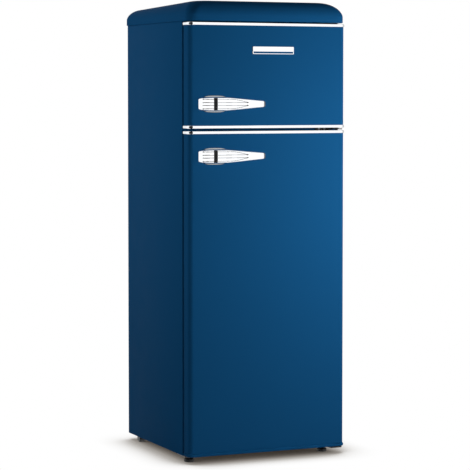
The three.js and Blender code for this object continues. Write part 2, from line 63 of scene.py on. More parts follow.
class Span:
    """Where a CAD node lies, in millimetres."""

    def __init__(self, node):
        low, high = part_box(node)
        self.x0, self.y0, self.z0 = (c / MM for c in low)
        self.x1, self.y1, self.z1 = (c / MM for c in high)
        self.cx = (self.x0 + self.x1) / 2
        self.cy = (self.y0 + self.y1) / 2
        self.cz = (self.z0 + self.z1) / 2
        self.box = (self.x0, self.x1, self.y0, self.y1, self.z0, self.z1)


# Camera

def add_camera():
    """A long lens well to the left of the doors, looking slightly down."""
    turn, dip = radians(23.963), radians(3.0)
    ahead = Vector((sin(turn) * cos(dip), cos(turn) * cos(dip), -sin(dip)))
    data = bpy.data.cameras.new("camera")
    data.sensor_width = 36
    data.lens = 152.78
    data.shift_y = -0.075
    data.clip_start, data.clip_end = 0.1, 100
    camera = placed("camera", data)
    camera.location = (-2.6949, -6.066, 1.1748)
    camera.rotation_mode = "QUATERNION"
    camera.rotation_quaternion = ahead.to_track_quat("-Z", "Y")
    bpy.context.scene.camera = camera


# Materials


class Nodes:
    """Short ways to add the few shader nodes that the finishes use."""

    def __init__(self, material):
        self.tree = material.node_tree
        self.shader = self.tree.nodes["Principled BSDF"]
        self.place = self.tree.nodes.new("ShaderNodeTexCoord").outputs["Object"]

    def node(self, kind, links, values):
        """A new node with its sockets linked or set, by name or number."""
        made = self.tree.nodes.new(kind)
        for socket, output in links.items():
            self.tree.links.new(output, made.inputs[socket])
        for socket, value in values.items():
            made.inputs[socket].default_value = value
        return made

    def stretched(self, scale):
        return self.node("ShaderNodeMapping", {"Vector": self.place}, {"Scale": scale}).outputs["Vector"]

    def noise(self, scale, detail, where=None):
        values = {"Scale": scale, "Detail": detail}
        return self.node("ShaderNodeTexNoise", {"Vector": where or self.place}, values).outputs["Fac"]

    def cells(self, scale, output="Distance"):
        return self.node("ShaderNodeTexVoronoi", {"Vector": self.place}, {"Scale": scale}).outputs[output]

    def spread(self, value, low, high, start=0.3, end=0.7):
        ends = {"From Min": start, "From Max": end, "To Min": low, "To Max": high}
        return self.node("ShaderNodeMapRange", {"Value": value}, ends).outputs["Result"]

    def between(self, value, one, other):
        mix = self.node("ShaderNodeMix", {0: value}, {6: (*one, 1), 7: (*other, 1)})
        mix.data_type = "RGBA"
        return mix.outputs[2]

    def bump(self, height, strength, depth):
        node = self.node("ShaderNodeBump", {"Height": height}, {"Strength": strength, "Distance": depth})
        self.feed(node.outputs["Normal"], "Normal")

    def feed(self, output, socket):
        self.tree.links.new(output, self.shader.inputs[socket])


def finish(name, color, roughness, metallic=0.0, vary=0.05, patch=8, rough_vary=0.05,
           grain=900, relief=0.08, depth=0.0002, stretch=None, sockets=None):
    """A material with slow colour drift, patchy roughness and a fine surface grain."""
    material = bpy.data.materials.new(name)
    material.use_nodes = True
    nodes = Nodes(material)
    nodes.shader.inputs["Metallic"].default_value = metallic
    for socket, value in (sockets or {}).items():
        nodes.shader.inputs[socket].default_value = value
    where = nodes.stretched(stretch) if stretch else None
    dark = tuple(c * (1 - vary) for c in color)
    light = tuple(min(1, c * (1 + vary)) for c in color)
    nodes.feed(nodes.between(nodes.noise(patch, 3), dark, light), "Base Color")
    low, high = max(0.02, roughness - rough_vary), roughness + rough_vary
    nodes.feed(nodes.spread(nodes.noise(patch * 5, 4, where), low, high), "Roughness")
    nodes.bump(nodes.noise(grain, 3, where), relief, depth)
    return material


def foam_finish():
    """Cut foam, with its cells."""
    material = finish("foam", (0.78, 0.64, 0.3), 0.9, vary=0.12, patch=14)
    nodes = Nodes(material)
    nodes.bump(nodes.cells(350), 0.6, 0.001)
    return material


def galvanised():
    """Zinc sheet with its faint crystal spangle."""
    material = finish("zinc", (0.52, 0.54, 0.56), 0.4, metallic=1.0, vary=0.06, patch=20)
    nodes = Nodes(material)
    nodes.feed(nodes.spread(nodes.cells(120, "Color"), 0.3, 0.5, 0.0, 1.0), "Roughness")
    return material


# Deep blue powder coat: a fine orange peel under a thin even gloss.
BLUE = finish("enamel", (0.007, 0.0785, 0.207), 0.36, vary=0.025, patch=3, rough_vary=0.04,
              grain=420, relief=0.05, depth=0.0003, sockets={"Specular IOR Level": 0.001})
CHROME = finish("chrome", (0.88, 0.89, 0.91), 0.07, metallic=1.0, vary=0.02, patch=30,
                rough_vary=0.03, grain=1500, relief=0.02, depth=0.0001)
# Near-black copy of the chrome, painted shade: it darkens the lever's deep flutes and the groove before its
# tip.
CHROME_SHADE = finish("chrome_painted_shade", (0.09, 0.085, 0.08), 0.3, metallic=1.0, vary=0.1,
                     patch=60, grain=1500, relief=0.03)
# Darkened, rougher copy of the chrome, painted shade: it dims the lever's shallower flutes and its tip, and
# the whole escutcheon.
CHROME_SATIN_SHADE = finish("chrome_satin_shade", (0.34, 0.35, 0.36), 0.16, metallic=1.0, vary=0.04,
                      patch=40, rough_vary=0.03, grain=1500, relief=0.03)
ZINC_DARK = finish("zinc_aged", (0.09, 0.095, 0.1), 0.5, metallic=0.9, vary=0.15, patch=20)
WHITE = finish("white_plastic", (0.83, 0.845, 0.84), 0.36, vary=0.02, patch=5,
               grain=1400, relief=0.05)
LINER = finish("liner_plastic", (0.88, 0.89, 0.885), 0.42, vary=0.01, patch=3,
               rough_vary=0.02, grain=900, relief=0.03, depth=0.0001)
CLEAR = finish("clear_plastic", (0.86, 0.92, 0.94), 0.08, vary=0.01, patch=12,
               rough_vary=0.03, grain=300, relief=0.02, sockets={"Alpha": 0.42})
GLASS = finish("shelf_glass", (0.84, 0.94, 0.9), 0.04, vary=0.02, patch=4, rough_vary=0.01,
               grain=60, relief=0.01, sockets={"Alpha": 0.34})
WIRE = finish("white_wire", (0.85, 0.86, 0.85), 0.35, vary=0.03, patch=25, grain=900,
              relief=0.1)
FOAM = foam_finish()
# Dark grey rubber for the door seals and the compressor's grommets. On the seals its darkness is partly
# painted shade, so that the gap between door and cabinet reads as a shadow line.
RUBBER_GAP_SHADE = finish("seal_rubber", (0.17, 0.18, 0.19), 0.62, vary=0.06, patch=20, grain=1200,
              relief=0.15)
BLACK = finish("black_nylon", (0.011, 0.011, 0.012), 0.5, vary=0.15, patch=40,
               grain=1600, relief=0.25)
STOVE = finish("black_stove_enamel", (0.012, 0.012, 0.014), 0.38, vary=0.12, patch=12,
               rough_vary=0.08, grain=500, relief=0.12, depth=0.0003)
ZINC = galvanised()
COPPER = finish("copper", (0.68, 0.34, 0.18), 0.28, metallic=1.0, vary=0.18, patch=45,
                rough_vary=0.1, grain=900, relief=0.05, stretch=(1, 1, 6))


# Shapes

def merged(*shapes):
    verts, faces = [], []
    for some_verts, some_faces in shapes:
        base = len(verts)
        verts += some_verts
        faces += [[i + base for i in face] for face in some_faces]
    return verts, faces


def shifted(shape, x=0.0, y=0.0, z=0.0):
    return [(a + x, b + y, c + z) for a, b, c in shape[0]], shape[1]


def turned(shape, axis, degrees):
    spin = Matrix.Rotation(radians(degrees), 3, axis)
    return [tuple(spin @ Vector(v)) for v in shape[0]], shape[1]


def to_front(shape, x=0.0, y=0.0, z=0.0):
    """Lays a shape built along +Z down, so that it points along -Y, and moves it."""
    return shifted(([(a, -c, b) for a, b, c in shape[0]], shape[1]), x, y, z)


def to_back(shape, x=0.0, y=0.0, z=0.0):
    """The same, pointing along +Y."""
    return shifted(([(-a, c, b) for a, b, c in shape[0]], shape[1]), x, y, z)


def both_sides(*shapes):
    """Shapes, and the same on the other side in x."""
    verts, faces = merged(*shapes)
    return merged((verts, faces), ([(-x, y, z) for x, y, z in verts], [face[::-1] for face in faces]))


def loft(rings, caps=True):
    """A surface through closed rings of equally many points, with flat ends."""
    count = len(rings[0])
    verts = [point for ring in rings for point in ring]
    faces = []
    for ring in range(len(rings) - 1):
        for side in range(count):
            a, b = ring * count + side, ring * count + (side + 1) % count
            faces.append([a, b, b + count, a + count])
    if caps:
        last = (len(rings) - 1) * count
        faces.append(list(range(count))[::-1])
        faces.append([last + side for side in range(count)])
    return verts, faces


def closed_loft(rings):
    """A ring of rings, such as a frame."""
    verts, faces = loft(rings, caps=False)
    count, last = len(rings[0]), (len(rings) - 1) * len(rings[0])
    for side in range(count):
        after = (side + 1) % count
        faces.append([last + side, last + after, after, side])
    return verts, faces


def polar(radius_at, sides, z):
    """A ring whose radius is a function of its angle."""
    angles = [2 * pi * i / sides for i in range(sides)]
    return [(radius_at(a) * cos(a), radius_at(a) * sin(a), z) for a in angles]


def circle(radius, sides, z=0.0):
    return polar(lambda _: radius, sides, z)


def lathe(profile, sides=32):
    """A turned piece about Z, from (radius, height) pairs that go up."""
    return loft([circle(max(radius, 0.01), sides, z) for radius, z in profile])


def quarter(steps):
    """Sine and cosine at even steps through a quarter turn."""
    angles = [radians(90 * i / steps) for i in range(steps + 1)]
    return [(sin(a), cos(a)) for a in angles]


def arc(cx, cy, radius, first, last, steps):
    """Points of a round stretch, from one angle in degrees to another."""
    turns = [radians(first + (last - first) * i / steps) for i in range(steps + 1)]
    return [(cx + radius * cos(a), cy + radius * sin(a)) for a in turns]


def plan_outline(x0, x1, y0, y1, front_r, back_r, steps):
    """A rectangle with its front and its back corners rounded, turning left, as (x, y) points."""
    return (arc(x1 - front_r, y0 + front_r, front_r, -90, 0, steps)
            + arc(x1 - back_r, y1 - back_r, back_r, 0, 90, steps)
            + arc(x0 + back_r, y1 - back_r, back_r, 90, 180, steps)
            + arc(x0 + front_r, y0 + front_r, front_r, 180, 270, steps))


def round_outline(x0, x1, y0, y1, radius, steps=6):
    radius = max(0.05, min(radius, (x1 - x0) / 2 - 0.01, (y1 - y0) / 2 - 0.01))
    return plan_outline(x0, x1, y0, y1, radius, radius, steps)


def inset_ring(sides, inset, z, radius, steps):
    """A rounded rectangle drawn in on all sides from (x0, x1, y0, y1), at a height."""
    x0, x1, y0, y1 = sides
    outline = round_outline(x0 + inset, x1 - inset, y0 + inset, y1 - inset, radius, steps)
    return [(x, y, z) for x, y in outline]


def soft_block(x0, x1, y0, y1, z0, z1, corner, edge, steps=6):
    """A block with rounded uprights and softly rounded top and bottom edges."""
    rings = []
    for top in (False, True):
        for sine, cosine in quarter(steps):
            near, far = edge * (1 - cosine), edge * (1 - sine)
            inset, z = (near, z1 - far) if top else (far, z0 + near)
            rings.append(inset_ring((x0, x1, y0, y1), inset, z, max(corner - inset, 0.1), steps))
    return loft(rings)


def prism(outline, z0, z1):
    return loft([[(x, y, z0) for x, y in outline], [(x, y, z1) for x, y in outline]])


def slab(x0, x1, y0, y1, z0, z1):
    return prism([(x0, y0), (x1, y0), (x1, y1), (x0, y1)], z0, z1)


def folded_sheet(path, z0, z1, thick=1.0):
    """An upright sheet whose outer side follows a path of (x, y, out x, out y)."""
    outer = [(x, y) for x, y, _, _ in path]
    inner = [(x - u * thick, y - v * thick) for x, y, u, v in path]
    return prism(outer + inner[::-1], z0, z1)


def wire(points, radius, sides=12, bend=0.0, steps=6):
    """A round bar or tube along a path, its corners rounded to the bend radius."""
    corners = [Vector(p) for p in points]
    path = [corners[0]]
    for before, corner, after in zip(corners, corners[1:], corners[2:]):
        back, ahead = (before - corner).normalized(), (after - corner).normalized()
        half = back.angle(ahead, pi) / 2
        if bend <= 0 or half > radians(88):
            path.append(corner)
            continue
        longest = 0.49
        reach = min(bend / tan(half), (before - corner).length * longest,
                    (after - corner).length * longest)
        round_to = reach * tan(half)
        centre = corner + (back + ahead).normalized() * (round_to / sin(half))
        start, end = corner + back * reach - centre, corner + ahead * reach - centre
        turn = start.angle(end, 0)
        axis = start.cross(end).normalized()
        path += [centre + Matrix.Rotation(turn * i / steps, 3, axis) @ start for i in range(steps + 1)]
    path.append(corners[-1])
    rings, side = [], None
    for i, point in enumerate(path):
        ahead = (path[min(i + 1, len(path) - 1)] - path[max(i - 1, 0)]).normalized()
        if side is None:
            side = ahead.orthogonal().normalized()
        side = (side - ahead * side.dot(ahead)).normalized()
        other = ahead.cross(side)
        rings.append([tuple(point + side * x + other * y) for x, y, _ in circle(radius, sides)])
    return loft(rings)


def tray(x0, x1, y0, y1, z0, z1, wall=2.5, corner=12, lip=2.0, draft=2.0, floor=2.5, steps=6):
    """An open box with leaning walls, a rolled rim and a rounded bottom edge."""
    def ring(inset, z, radius=corner):
        return inset_ring((x0, x1, y0, y1), inset, z, radius, steps)
    bottom_r = 5.0
    outer, inner = lip + draft, lip + draft + wall
    rings = [ring(outer + bottom_r * (1 - sine), z0 + bottom_r * (1 - cosine)) for sine, cosine in quarter(4)]
    rings += [ring(lip, z1 - 4), ring(0.4, z1 - 3.2), ring(0, z1 - 2), ring(0.3, z1 - 0.6), ring(1.2, z1),
              ring(lip + wall - 0.6, z1, corner - 1), ring(lip + wall, z1 - 0.8, corner - 1)]
    rings += [ring(inner + bottom_r * (1 - cosine), z0 + floor + bottom_r * (1 - sine), corner - 2)
              for sine, cosine in quarter(4)]
    return loft(rings)


def screw(radius, height, x, y, z, facing):
    """A pan-head screw with a cross recess. facing is front, back, up or down."""
    sides, floor = 48, height * 0.45

    def cross(reach, z_at):
        return polar(lambda a: reach * (0.32 + 0.68 * abs(cos(2 * a)) ** 3), sides, z_at)

    dome = ((1, 0), (1, 0.35), (0.96, 0.6), (0.84, 0.84), (0.68, 0.97))
    rings = [circle(radius * r, sides, height * h) for r, h in dome]
    rings += [cross(radius * 0.55, height), cross(radius * 0.5, floor), cross(radius * 0.1, floor)]
    shape = loft(rings)
    if facing == "front":
        return to_front(shape, x, y, z)
    if facing == "back":
        return to_back(shape, x, y, z)
    if facing == "down":
        shape = turned(shape, "X", 180)
    return shifted(shape, x, y, z)


def placed(name, data):
    """A new object in the scene."""
    obj = bpy.data.objects.new(name, data)
    bpy.context.collection.objects.link(obj)
    return obj


def new_mesh(name, shape, crease=38):
    """A clean mesh in metres, smooth but for its creases."""
    mesh = bpy.data.meshes.new(name)
    mesh.from_pydata([tuple(c * MM for c in v) for v in shape[0]], [], shape[1])
    work = bmesh.new()
    work.from_mesh(mesh)
    bmesh.ops.remove_doubles(work, verts=work.verts, dist=2e-6)
    bmesh.ops.dissolve_degenerate(work, edges=work.edges, dist=1e-6)
    bmesh.ops.recalc_face_normals(work, faces=work.faces)
    for face in work.faces:
        face.smooth = True
    for edge in work.edges:
        edge.smooth = edge.is_manifold and edge.calc_face_angle(0) < radians(crease)
    work.to_mesh(mesh)
    work.free()
    return mesh


def cut_shape(shape, *cutters):
    """A shape with others cut out of it, by an exact boolean."""
    body = placed("cut_body", new_mesh("cut_body", shape))
    tools = [placed("cut_tool", new_mesh("cut_tool", cutter)) for cutter in cutters]
    for tool in tools:
        modifier = body.modifiers.new("cut", "BOOLEAN")
        modifier.operation, modifier.solver, modifier.object = "DIFFERENCE", "EXACT", tool
    mesh = body.evaluated_get(bpy.context.evaluated_depsgraph_get()).to_mesh()
    result = [tuple(c / MM for c in v.co) for v in mesh.vertices], [list(p.vertices) for p in mesh.polygons]
    for scrap in (body, *tools):
        bpy.data.objects.remove(scrap)
    return result


def piece(name, shape, material, replaces=(), body="cabinet", crease=38):
    obj = placed(name, new_mesh(name, shape, crease))
    obj.data.materials.append(material)
    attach(obj, body)
    if replaces:
        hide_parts(*replaces)
    return obj


def dress(node, material, bevel):
    """Keeps a CAD node, with its own finish and its sharp edges eased."""
    obj = frame["nodes"][node]
    obj.data.materials.clear()
    obj.data.materials.append(material)
    flatten = obj.modifiers.new("flat", "DECIMATE")
    flatten.decimate_type = "DISSOLVE"
    flatten.angle_limit = radians(1)
    if bevel:
        ease = obj.modifiers.new("ease", "BEVEL")
        ease.width, ease.segments, ease.limit_method = bevel * MM, 2, "ANGLE"
        ease.angle_limit = radians(40)


# Doors

def door_path(x, front, back, radius, steps=14):
    """A door's edge in plan, from the back left round the front to the back right, with its
    outward directions: (x, y, out x, out y)."""
    path = [(-x, back, -1, 0)]
    for cx, first in ((-x + radius, 180), (x - radius, 270)):
        for i in range(steps + 1):
            angle = radians(first + 90 * i / steps)
            out = (cos(angle), sin(angle))
            path.append((cx + radius * out[0], front + radius + radius * out[1], *out))
    path.append((x, back, 1, 0))
    return path


def door_skin(door):
    node = f"{door}_door_skin"
    span = Span(node)
    sheet = folded_sheet(door_path(span.x1, span.y0, span.y1, DOOR_CORNER), span.z0, span.z1)
    piece(f"{door}_skin", sheet, BLUE, [node], f"{door}_door")


def end_trim(door, end, material):
    """A rim of half-round section round three sides, over the plate that closes the door's end."""
    node = f"{door}_door_{end}_trim"
    span = Span(node)
    height, proud, flat, tuck, plate_thick = span.z1 - span.z0, 3.0, 0.6, 4, 3.3
    path = door_path(span.x1 - proud, span.y0 + proud, span.y1, DOOR_CORNER)
    section = [(-tuck, 0), (flat, 0)]
    for i in range(1, 12):
        angle = radians(-90 + 180 * i / 12)
        section.append((flat + (proud - flat) * cos(angle), height / 2 * (1 + sin(angle))))
    section += [(flat, height), (-tuck, height)]
    rings = [[(x + u * a, y + v * a, span.z0 + b) for a, b in section] for x, y, u, v in path]
    lap, plate_back = tuck - 0.1, span.y1 - 0.05
    outline = [(x - lap * u, y - lap * v) for x, y, u, v in path]
    outline[0], outline[-1] = (outline[0][0], plate_back), (outline[-1][0], plate_back)
    plate_z = (span.z0, span.z0 + plate_thick) if end == "bottom" else (span.z1 - plate_thick, span.z1)
    pin_hole = shifted(lathe([(5.2, -5), (5.2, 15)]), PIN_X, PIN_Y, span.z0)
    plate = cut_shape(prism(outline, *plate_z), pin_hole)
    piece(f"{door}_{end}_trim", merged(loft(rings), plate), material, [node], f"{door}_door")


# Lever pull: place along x from the middle of its base, underside and crown out from the door,
# half height. The left block is lower than the lever, with a steep face between them.
LEVER = [
    (-49.6, 7.5, 9.5, 13.0), (-49.3, 6.9, 11, 15.0), (-48.6, 6.3, 12.8, 16.4), (-47.4, 5.7, 15.4, 17.6),
    (-45.6, 5.2, 19.2, 18.8), (-43.4, 5, 23.8, 19.8), (-41.6, 5, 27.4, 20.4), (-40.2, 5, 30.1, 20.8),
    (-36, 5, 30.1, 21.3), (-28, 5, 30.1, 21.9), (-18, 5, 30.1, 22.4),
    (-5.4, 5, 30.1, 22.8), (-4.4, 5, 30.2, 22.8), (-3.8, 5, 30.5, 22.8), (-3.4, 5, 30.7, 22.8),
    (5.4, 5, 35.5, 22.8), (5.8, 5, 35.7, 22.8), (6.6, 5, 35.9, 22.8), (8, 5, 35.95, 22.8),
    (14, 5, 35.8, 22.8), (26, 6, 35.4, 22.7), (34, 12, 35, 22.4), (42, 19, 34.6, 22.0),
    (60, 20, 33.4, 20.6), (90, 19.5, 31.6, 18.0), (120, 18.5, 29.6, 15.2), (145, 17, 27.6, 13.1),
    (165, 15.6, 25.6, 11.4), (171, 15.2, 25.0, 10.9), (172.6, 15.2, 24.2, 10.4), (176.4, 15.6, 22.4, 9.9),
    (178, 16.6, 20.8, 8.8),
]
LEVER_HEEL = -LEVER[0][0]


def lever_at(x, column):
    """One column of the lever's table at x, straight between its rows."""
    for before, after in zip(LEVER, LEVER[1:]):
        if x <= after[0]:
            t = (x - before[0]) / (after[0] - before[0])
            return before[column] + (after[column] - before[column]) * t
    return LEVER[-1][column]


def flute_depth(x, across):
    """How deep the four flutes cut at a place on the lever: the outer pair runs into the inner
    pair before the tip, where they end in two round dots."""
    start, merge, end = -44.0, 60.0, 112.0
    inner, outer = 4.6, 14.8
    half_width, deep, dot_r, dot_deep = 1.35, 1.1, 2.6, 1.5
    if x < start or x > end + 4:
        return 0.0
    if x > merge:
        outer += (inner + 0.6 - outer) * min(1, (x - merge) / (end - merge)) ** 1.4
    fade = min(1, (x - start) / 4, max(0.0, (end + 3 - x) / 3))
    depth = 0.0
    for centre in (inner, outer, -inner, -outer):
        away = abs(across - centre) / half_width
        if away < 1:
            depth = max(depth, deep * cos(away * pi / 2))
    dot = min(hypot(x - end, across - inner), hypot(x - end, across + inner))
    if dot < dot_r:
        return max(depth, dot_deep * cos(dot / dot_r * pi / 2))
    return depth * fade


def lever_ring(x):
    """Section of the lever at x: a crowned and fluted face with rolled edges, and a flat back."""
    low, high, half = (lever_at(x, column) for column in (1, 2, 3))
    roll = min(5.5, (high - low) * 0.48)
    ring = []
    for i in range(53):
        z = half * (-1 + 2 * i / 52)
        fall = max(0.0, abs(z) - (half - roll)) / roll
        y = high - 1.0 * (z / half) ** 2 - (high - low) * 0.5 * (1 - sqrt(max(0, 1 - fall ** 2)))
        ring.append((x, -(y - flute_depth(x, z)), z))
    for i in range(1, 12):
        angle = pi * i / 12
        y = (low + high) / 2 - (high - low) / 2 * min(1, sin(angle) * 1.6)
        ring.append((x, -y, half * cos(angle)))
    return ring


def lever(door):
    """The pull. Its flutes, its tip and the groove before the tip get darker copies of the chrome as painted
    shade: the groove and the deeper flutes near-black, the tip and the shallower flutes dimmed.
    """
    base = Span(f"{door}_handle_base")
    front, middle = base.y1 + GAP, Span(f"{door}_handle").x0 + LEVER_HEEL
    xs = sorted({row[0] for row in LEVER} | {-54 + 1.4 * i for i in range(4, 166)})
    shape = shifted(loft([lever_ring(x) for x in xs]), middle, front, base.cz)
    obj = piece(f"{door}_lever", shape, CHROME, [f"{door}_handle"], f"{door}_door", 60)
    obj.data.materials.append(CHROME_SHADE)
    obj.data.materials.append(CHROME_SATIN_SHADE)
    # Material slots: near-black painted shade in the groove and the deep flutes, dimmed painted shade on the
    # tip and the shallower flutes.
    dark, half_shade = 1, 2
    band, dots, groove, tip = -5, 109, 171, 172.7
    crown_height, dark_depth, half_shade_depth = 20, 0.55, 0.45
    for face in obj.data.polygons:
        out = front - face.center.y / MM
        x, z = face.center.x / MM - middle, face.center.z / MM - base.cz
        depth = flute_depth(x, z) if out > crown_height else 0
        if groove < x < tip or (x < band or x > dots) and depth > dark_depth:
            face.material_index = dark
        elif x > tip or depth > half_shade_depth:
            face.material_index = half_shade
    obj.visible_shadow = False


def fuller(value, power=0.66):
    """Turns the cosine and sine of an ellipse into those of a fuller oval."""
    return copysign(abs(value) ** power, value)


def escutcheon(door):
    """Oval foot of the pull, with a raised rim and a shadow step, in a rougher chrome darkened as painted
    shade.
    """
    node = f"{door}_handle_base"
    base = Span(node)
    wide, tall = (base.x1 - base.x0) / 2, (base.z1 - base.z0) / 2
    oval = [(fuller(cos(a)), fuller(sin(a))) for a in (2 * pi * i / 96 for i in range(96))]
    steps = [(0, 0.0), (0, 1.6), (0.5, 2.6), (1.6, 3.3), (3.2, 3.6), (4.6, 3.7), (5.4, 4.3), (6.4, 4.7),
             (9, 4.7)]
    rings = [[((wide - inset) * u, (tall - inset) * v, height) for u, v in oval] for inset, height in steps]
    foot = to_front(loft(rings), base.cx, base.y1, base.cz)
    piece(f"{door}_escutcheon", foot, CHROME_SATIN_SHADE, [node], f"{door}_door")


def seal(door):
    """Magnetic seal: a bellows section that runs round the door and its rounded corners, in rubber darkened
    as painted shade for the gap.
    """
    node = f"{door}_door_gasket"
    x0, x1, y0, y1, z0, z1 = Span(node).box
    deep = y1 - y0
    section = [(0, 0), (1.5, 0), (2.2, 1.6), (4.0, 2.2), (4.4, 3.4), (2.6, 4.4), (3.2, 5.6), (1.0, 6.4),
               (0, 7.4), (0, deep - 0.3), (0.4, deep), (12.4, deep), (12.9, deep - 0.4), (12.9, 7.2),
               (11.6, 6.6), (11.8, 5.4), (12.6, 4.2), (10.2, 3.2), (10.6, 1.4), (11.4, 0)]
    r = 9
    rings = []
    for cx, cz, first in ((x1 - r, z0 + r, -90), (x1 - r, z1 - r, 0), (x0 + r, z1 - r, 90),
                          (x0 + r, z0 + r, 180)):
        for angle in (radians(first + 15 * i) for i in range(7)):
            u, w = cos(angle), sin(angle)
            rings.append([(cx + (r - a) * u, y0 + b, cz + (r - a) * w) for a, b in section])
    piece(f"{door}_seal", closed_loft(rings), RUBBER_GAP_SHADE, [node], f"{door}_door", 50)


def nameplate():
    """Blank maker's bar over a thin line."""
    x0, x1, y0, y1, z0, z1 = Span("nameplate").box
    deep = y1 - y0
    bar = soft_block(x0, x1, z0 + 8, z1, 0, deep, 2, 0.8, 5)
    line = soft_block(x0, x1, z0, z0 + 2.5, 0, deep - 0.4, 1.1, 0.6, 4)
    ties = [soft_block(x, x + 3, z0 + 1, z0 + 10, 0, deep - 0.9, 0.8, 0.3, 3) for x in (x0, x1 - 3)]
    piece("name_bar", to_front(merged(bar, line, *ties), y=y1), CHROME, ["nameplate"], "freezer_door")


def build_doors():
    for door in ("freezer", "fridge"):
        door_skin(door)
        end_trim(door, "top", CHROME)
        end_trim(door, "bottom", CHROME if door == "freezer" else BLUE)
        escutcheon(door)
        lever(door)
        seal(door)


# Cabinet

def cap_rings(inset, floor, height, rise=24):
    """Rings of the cover, drawn in towards the top at its front and sides. It is lower at the
    back, with wide round corners in front and tight ones behind."""
    x0, x1, y0, y1, z0, _ = Span("top_cap").box
    skirt, shoulder, roundness, back_drop = z0 + 18, 52, 1.14, 0.27
    front_r, growth, back_r = 34, 0.18, 4

    def ring(z, drawn, tuck=0.0):
        edge = inset + tuck
        outline = plan_outline(x0 + edge + drawn, x1 - edge - drawn, y0 + edge + drawn, y1 - edge,
                               front_r - edge + growth * drawn, max(back_r - edge / 2, 0.5), 12)
        lift = max(z - skirt, 0)
        return [(x, y, z - lift * back_drop * (y - y0) / (y1 - y0)) for x, y in outline]

    if inset:
        rings = [ring(floor, 0)]
    else:
        rings = [ring(floor, 0, 0.8), ring(floor + 0.25, 0, 0.2), ring(floor + 0.9, 0)]
    for sine, cosine in quarter(rise):
        lift, drawn = sine ** roundness, 1 - max(cosine, 0) ** roundness
        rings.append(ring(skirt + (height - skirt) * lift, shoulder * drawn))
    return rings


def build_cap():
    span = Span("top_cap")
    outside = cap_rings(0, span.z0, span.z1)
    inside = cap_rings(6, span.z0, span.z1 - 3)
    piece("cap_shell", loft(inside[::-1] + outside), BLUE, ["top_cap"])


def build_wrapper():
    """Folded steel: two sides, each turned in round the front and the back, and the top."""
    x0, x, front, back, z0, z1 = Span("outer_wrapper").box
    fold, sheet, flange_x, flange_z = 2.2, 1, 236.8, 1367.8
    path = [(flange_x, front, 0, -1), (x - fold, front, 0, -1)]
    for angle in (radians(a) for a in (15, 30, 45, 60, 75)):
        u, v = sin(angle), -cos(angle)
        path.append((x - fold + fold * u, front + fold + fold * v, u, v))
    path += [(x, front + fold, 1, 0), (x, back - 1.5, 1, 0), (x - 0.5, back - 0.4, 0.7, 0.7),
             (x - 1.5, back, 0, 1), (x - 12, back, 0, 1)]
    lid_z = z1 - sheet
    sides = both_sides(folded_sheet(path, z0, lid_z))
    lid = soft_block(x0, x, front, back, lid_z, z1, fold, 0.4, 3)
    top_flange = soft_block(-236.5, 236.5, front, front + sheet, flange_z, lid_z, 0.3, 0.2, 2)
    piece("wrapper_sheet", merged(sides, lid, top_flange), BLUE, ["outer_wrapper"])


def build_cabinet():
    build_wrapper()
    build_cap()
    for node, material, bevel in (("base_pan", BLUE, 0.3), ("front_crossbar", BLUE, 0.2),
                                  ("rear_panel", ZINC, 0.2), ("compressor_bay_panel", ZINC, 0.2),
                                  ("insulation_foam", FOAM, 0), ("freezer_evaporator", ZINC, 0.4),
                                  ("compressor_plate", ZINC_DARK, 0.3), ("freezer_door_foam", FOAM, 0),
                                  ("fridge_door_foam", FOAM, 0)):
        dress(node, material, bevel)


# Inside the compartments

SHELF_NODES = ("glass_shelf_1", "glass_shelf_2", "glass_shelf_3")


def ledge(node, back):
    """Moulded rest for a shelf on each side wall, under the shelf's edge, and a guide above it."""
    _, _, y0, _, z0, z1 = Span(node).box
    wall = 235.8
    bar = soft_block(228.6, wall, y0, back, z0 - 5.3, z0 - 0.3, 1.5, 1.2, 3)
    guide = soft_block(231.6, wall, y0 + 25, back, z1 + 1.2, z1 + 8, 1.2, 1.2, 3)
    return both_sides(bar, guide)


def build_liners():
    """The two moulded tubs. The fridge's is shallower below, in front of the compressor bay."""
    wall, past_front, joint = 1.5, 60, 0.05
    x0, x1, y0, y1, z0, z1 = Span("freezer_liner").box
    shell = soft_block(x0, x1, y0, y1, z0, z1, 4, 1.5, 4)
    hollow = soft_block(x0 + wall, x1 - wall, y0 - past_front, y1 - wall, z0 + wall, z1 - wall, 9, 16, 8)
    piece("freezer_tub", cut_shape(shell, hollow), LINER, ["freezer_liner"])
    x0, x1, y0, y1, z0, z1 = Span("fridge_liner").box
    step_y, step_z = 65, 280
    inside_x = (x0 + wall, x1 - wall)
    shell = slab(x0, x1, y0, y1, step_z - wall, z1)
    foot = slab(x0 + joint, x1 - joint, y0 + joint, step_y + wall, z0, step_z - wall + joint)
    upper = soft_block(*inside_x, y0 - past_front, y1 - wall, step_z, z1 - wall, 12, 12, 8)
    lower = soft_block(*inside_x, y0 - past_front, step_y, z0 + wall, step_z + 40, 9, 9, 8)
    rests = [ledge(node, 213) for node in SHELF_NODES] + [ledge("crisper_cover", 60)]
    drain = lathe([(9, 0), (11, 0.8), (11, 1.6), (7, 1.8), (6, 0.6), (0.01, 0.6)], 28)
    tub = merged(cut_shape(shell, upper, lower), cut_shape(foot, lower, upper), *rests,
                 shifted(drain, 150, 195, step_z - 0.2))
    piece("fridge_tub", tub, LINER, ["fridge_liner"])


def edge_strip(y0, y1, z0, z1):
    half = 228
    return soft_block(-half, half, y0, y1, z0, z1, 2.4, 2.2, 5)


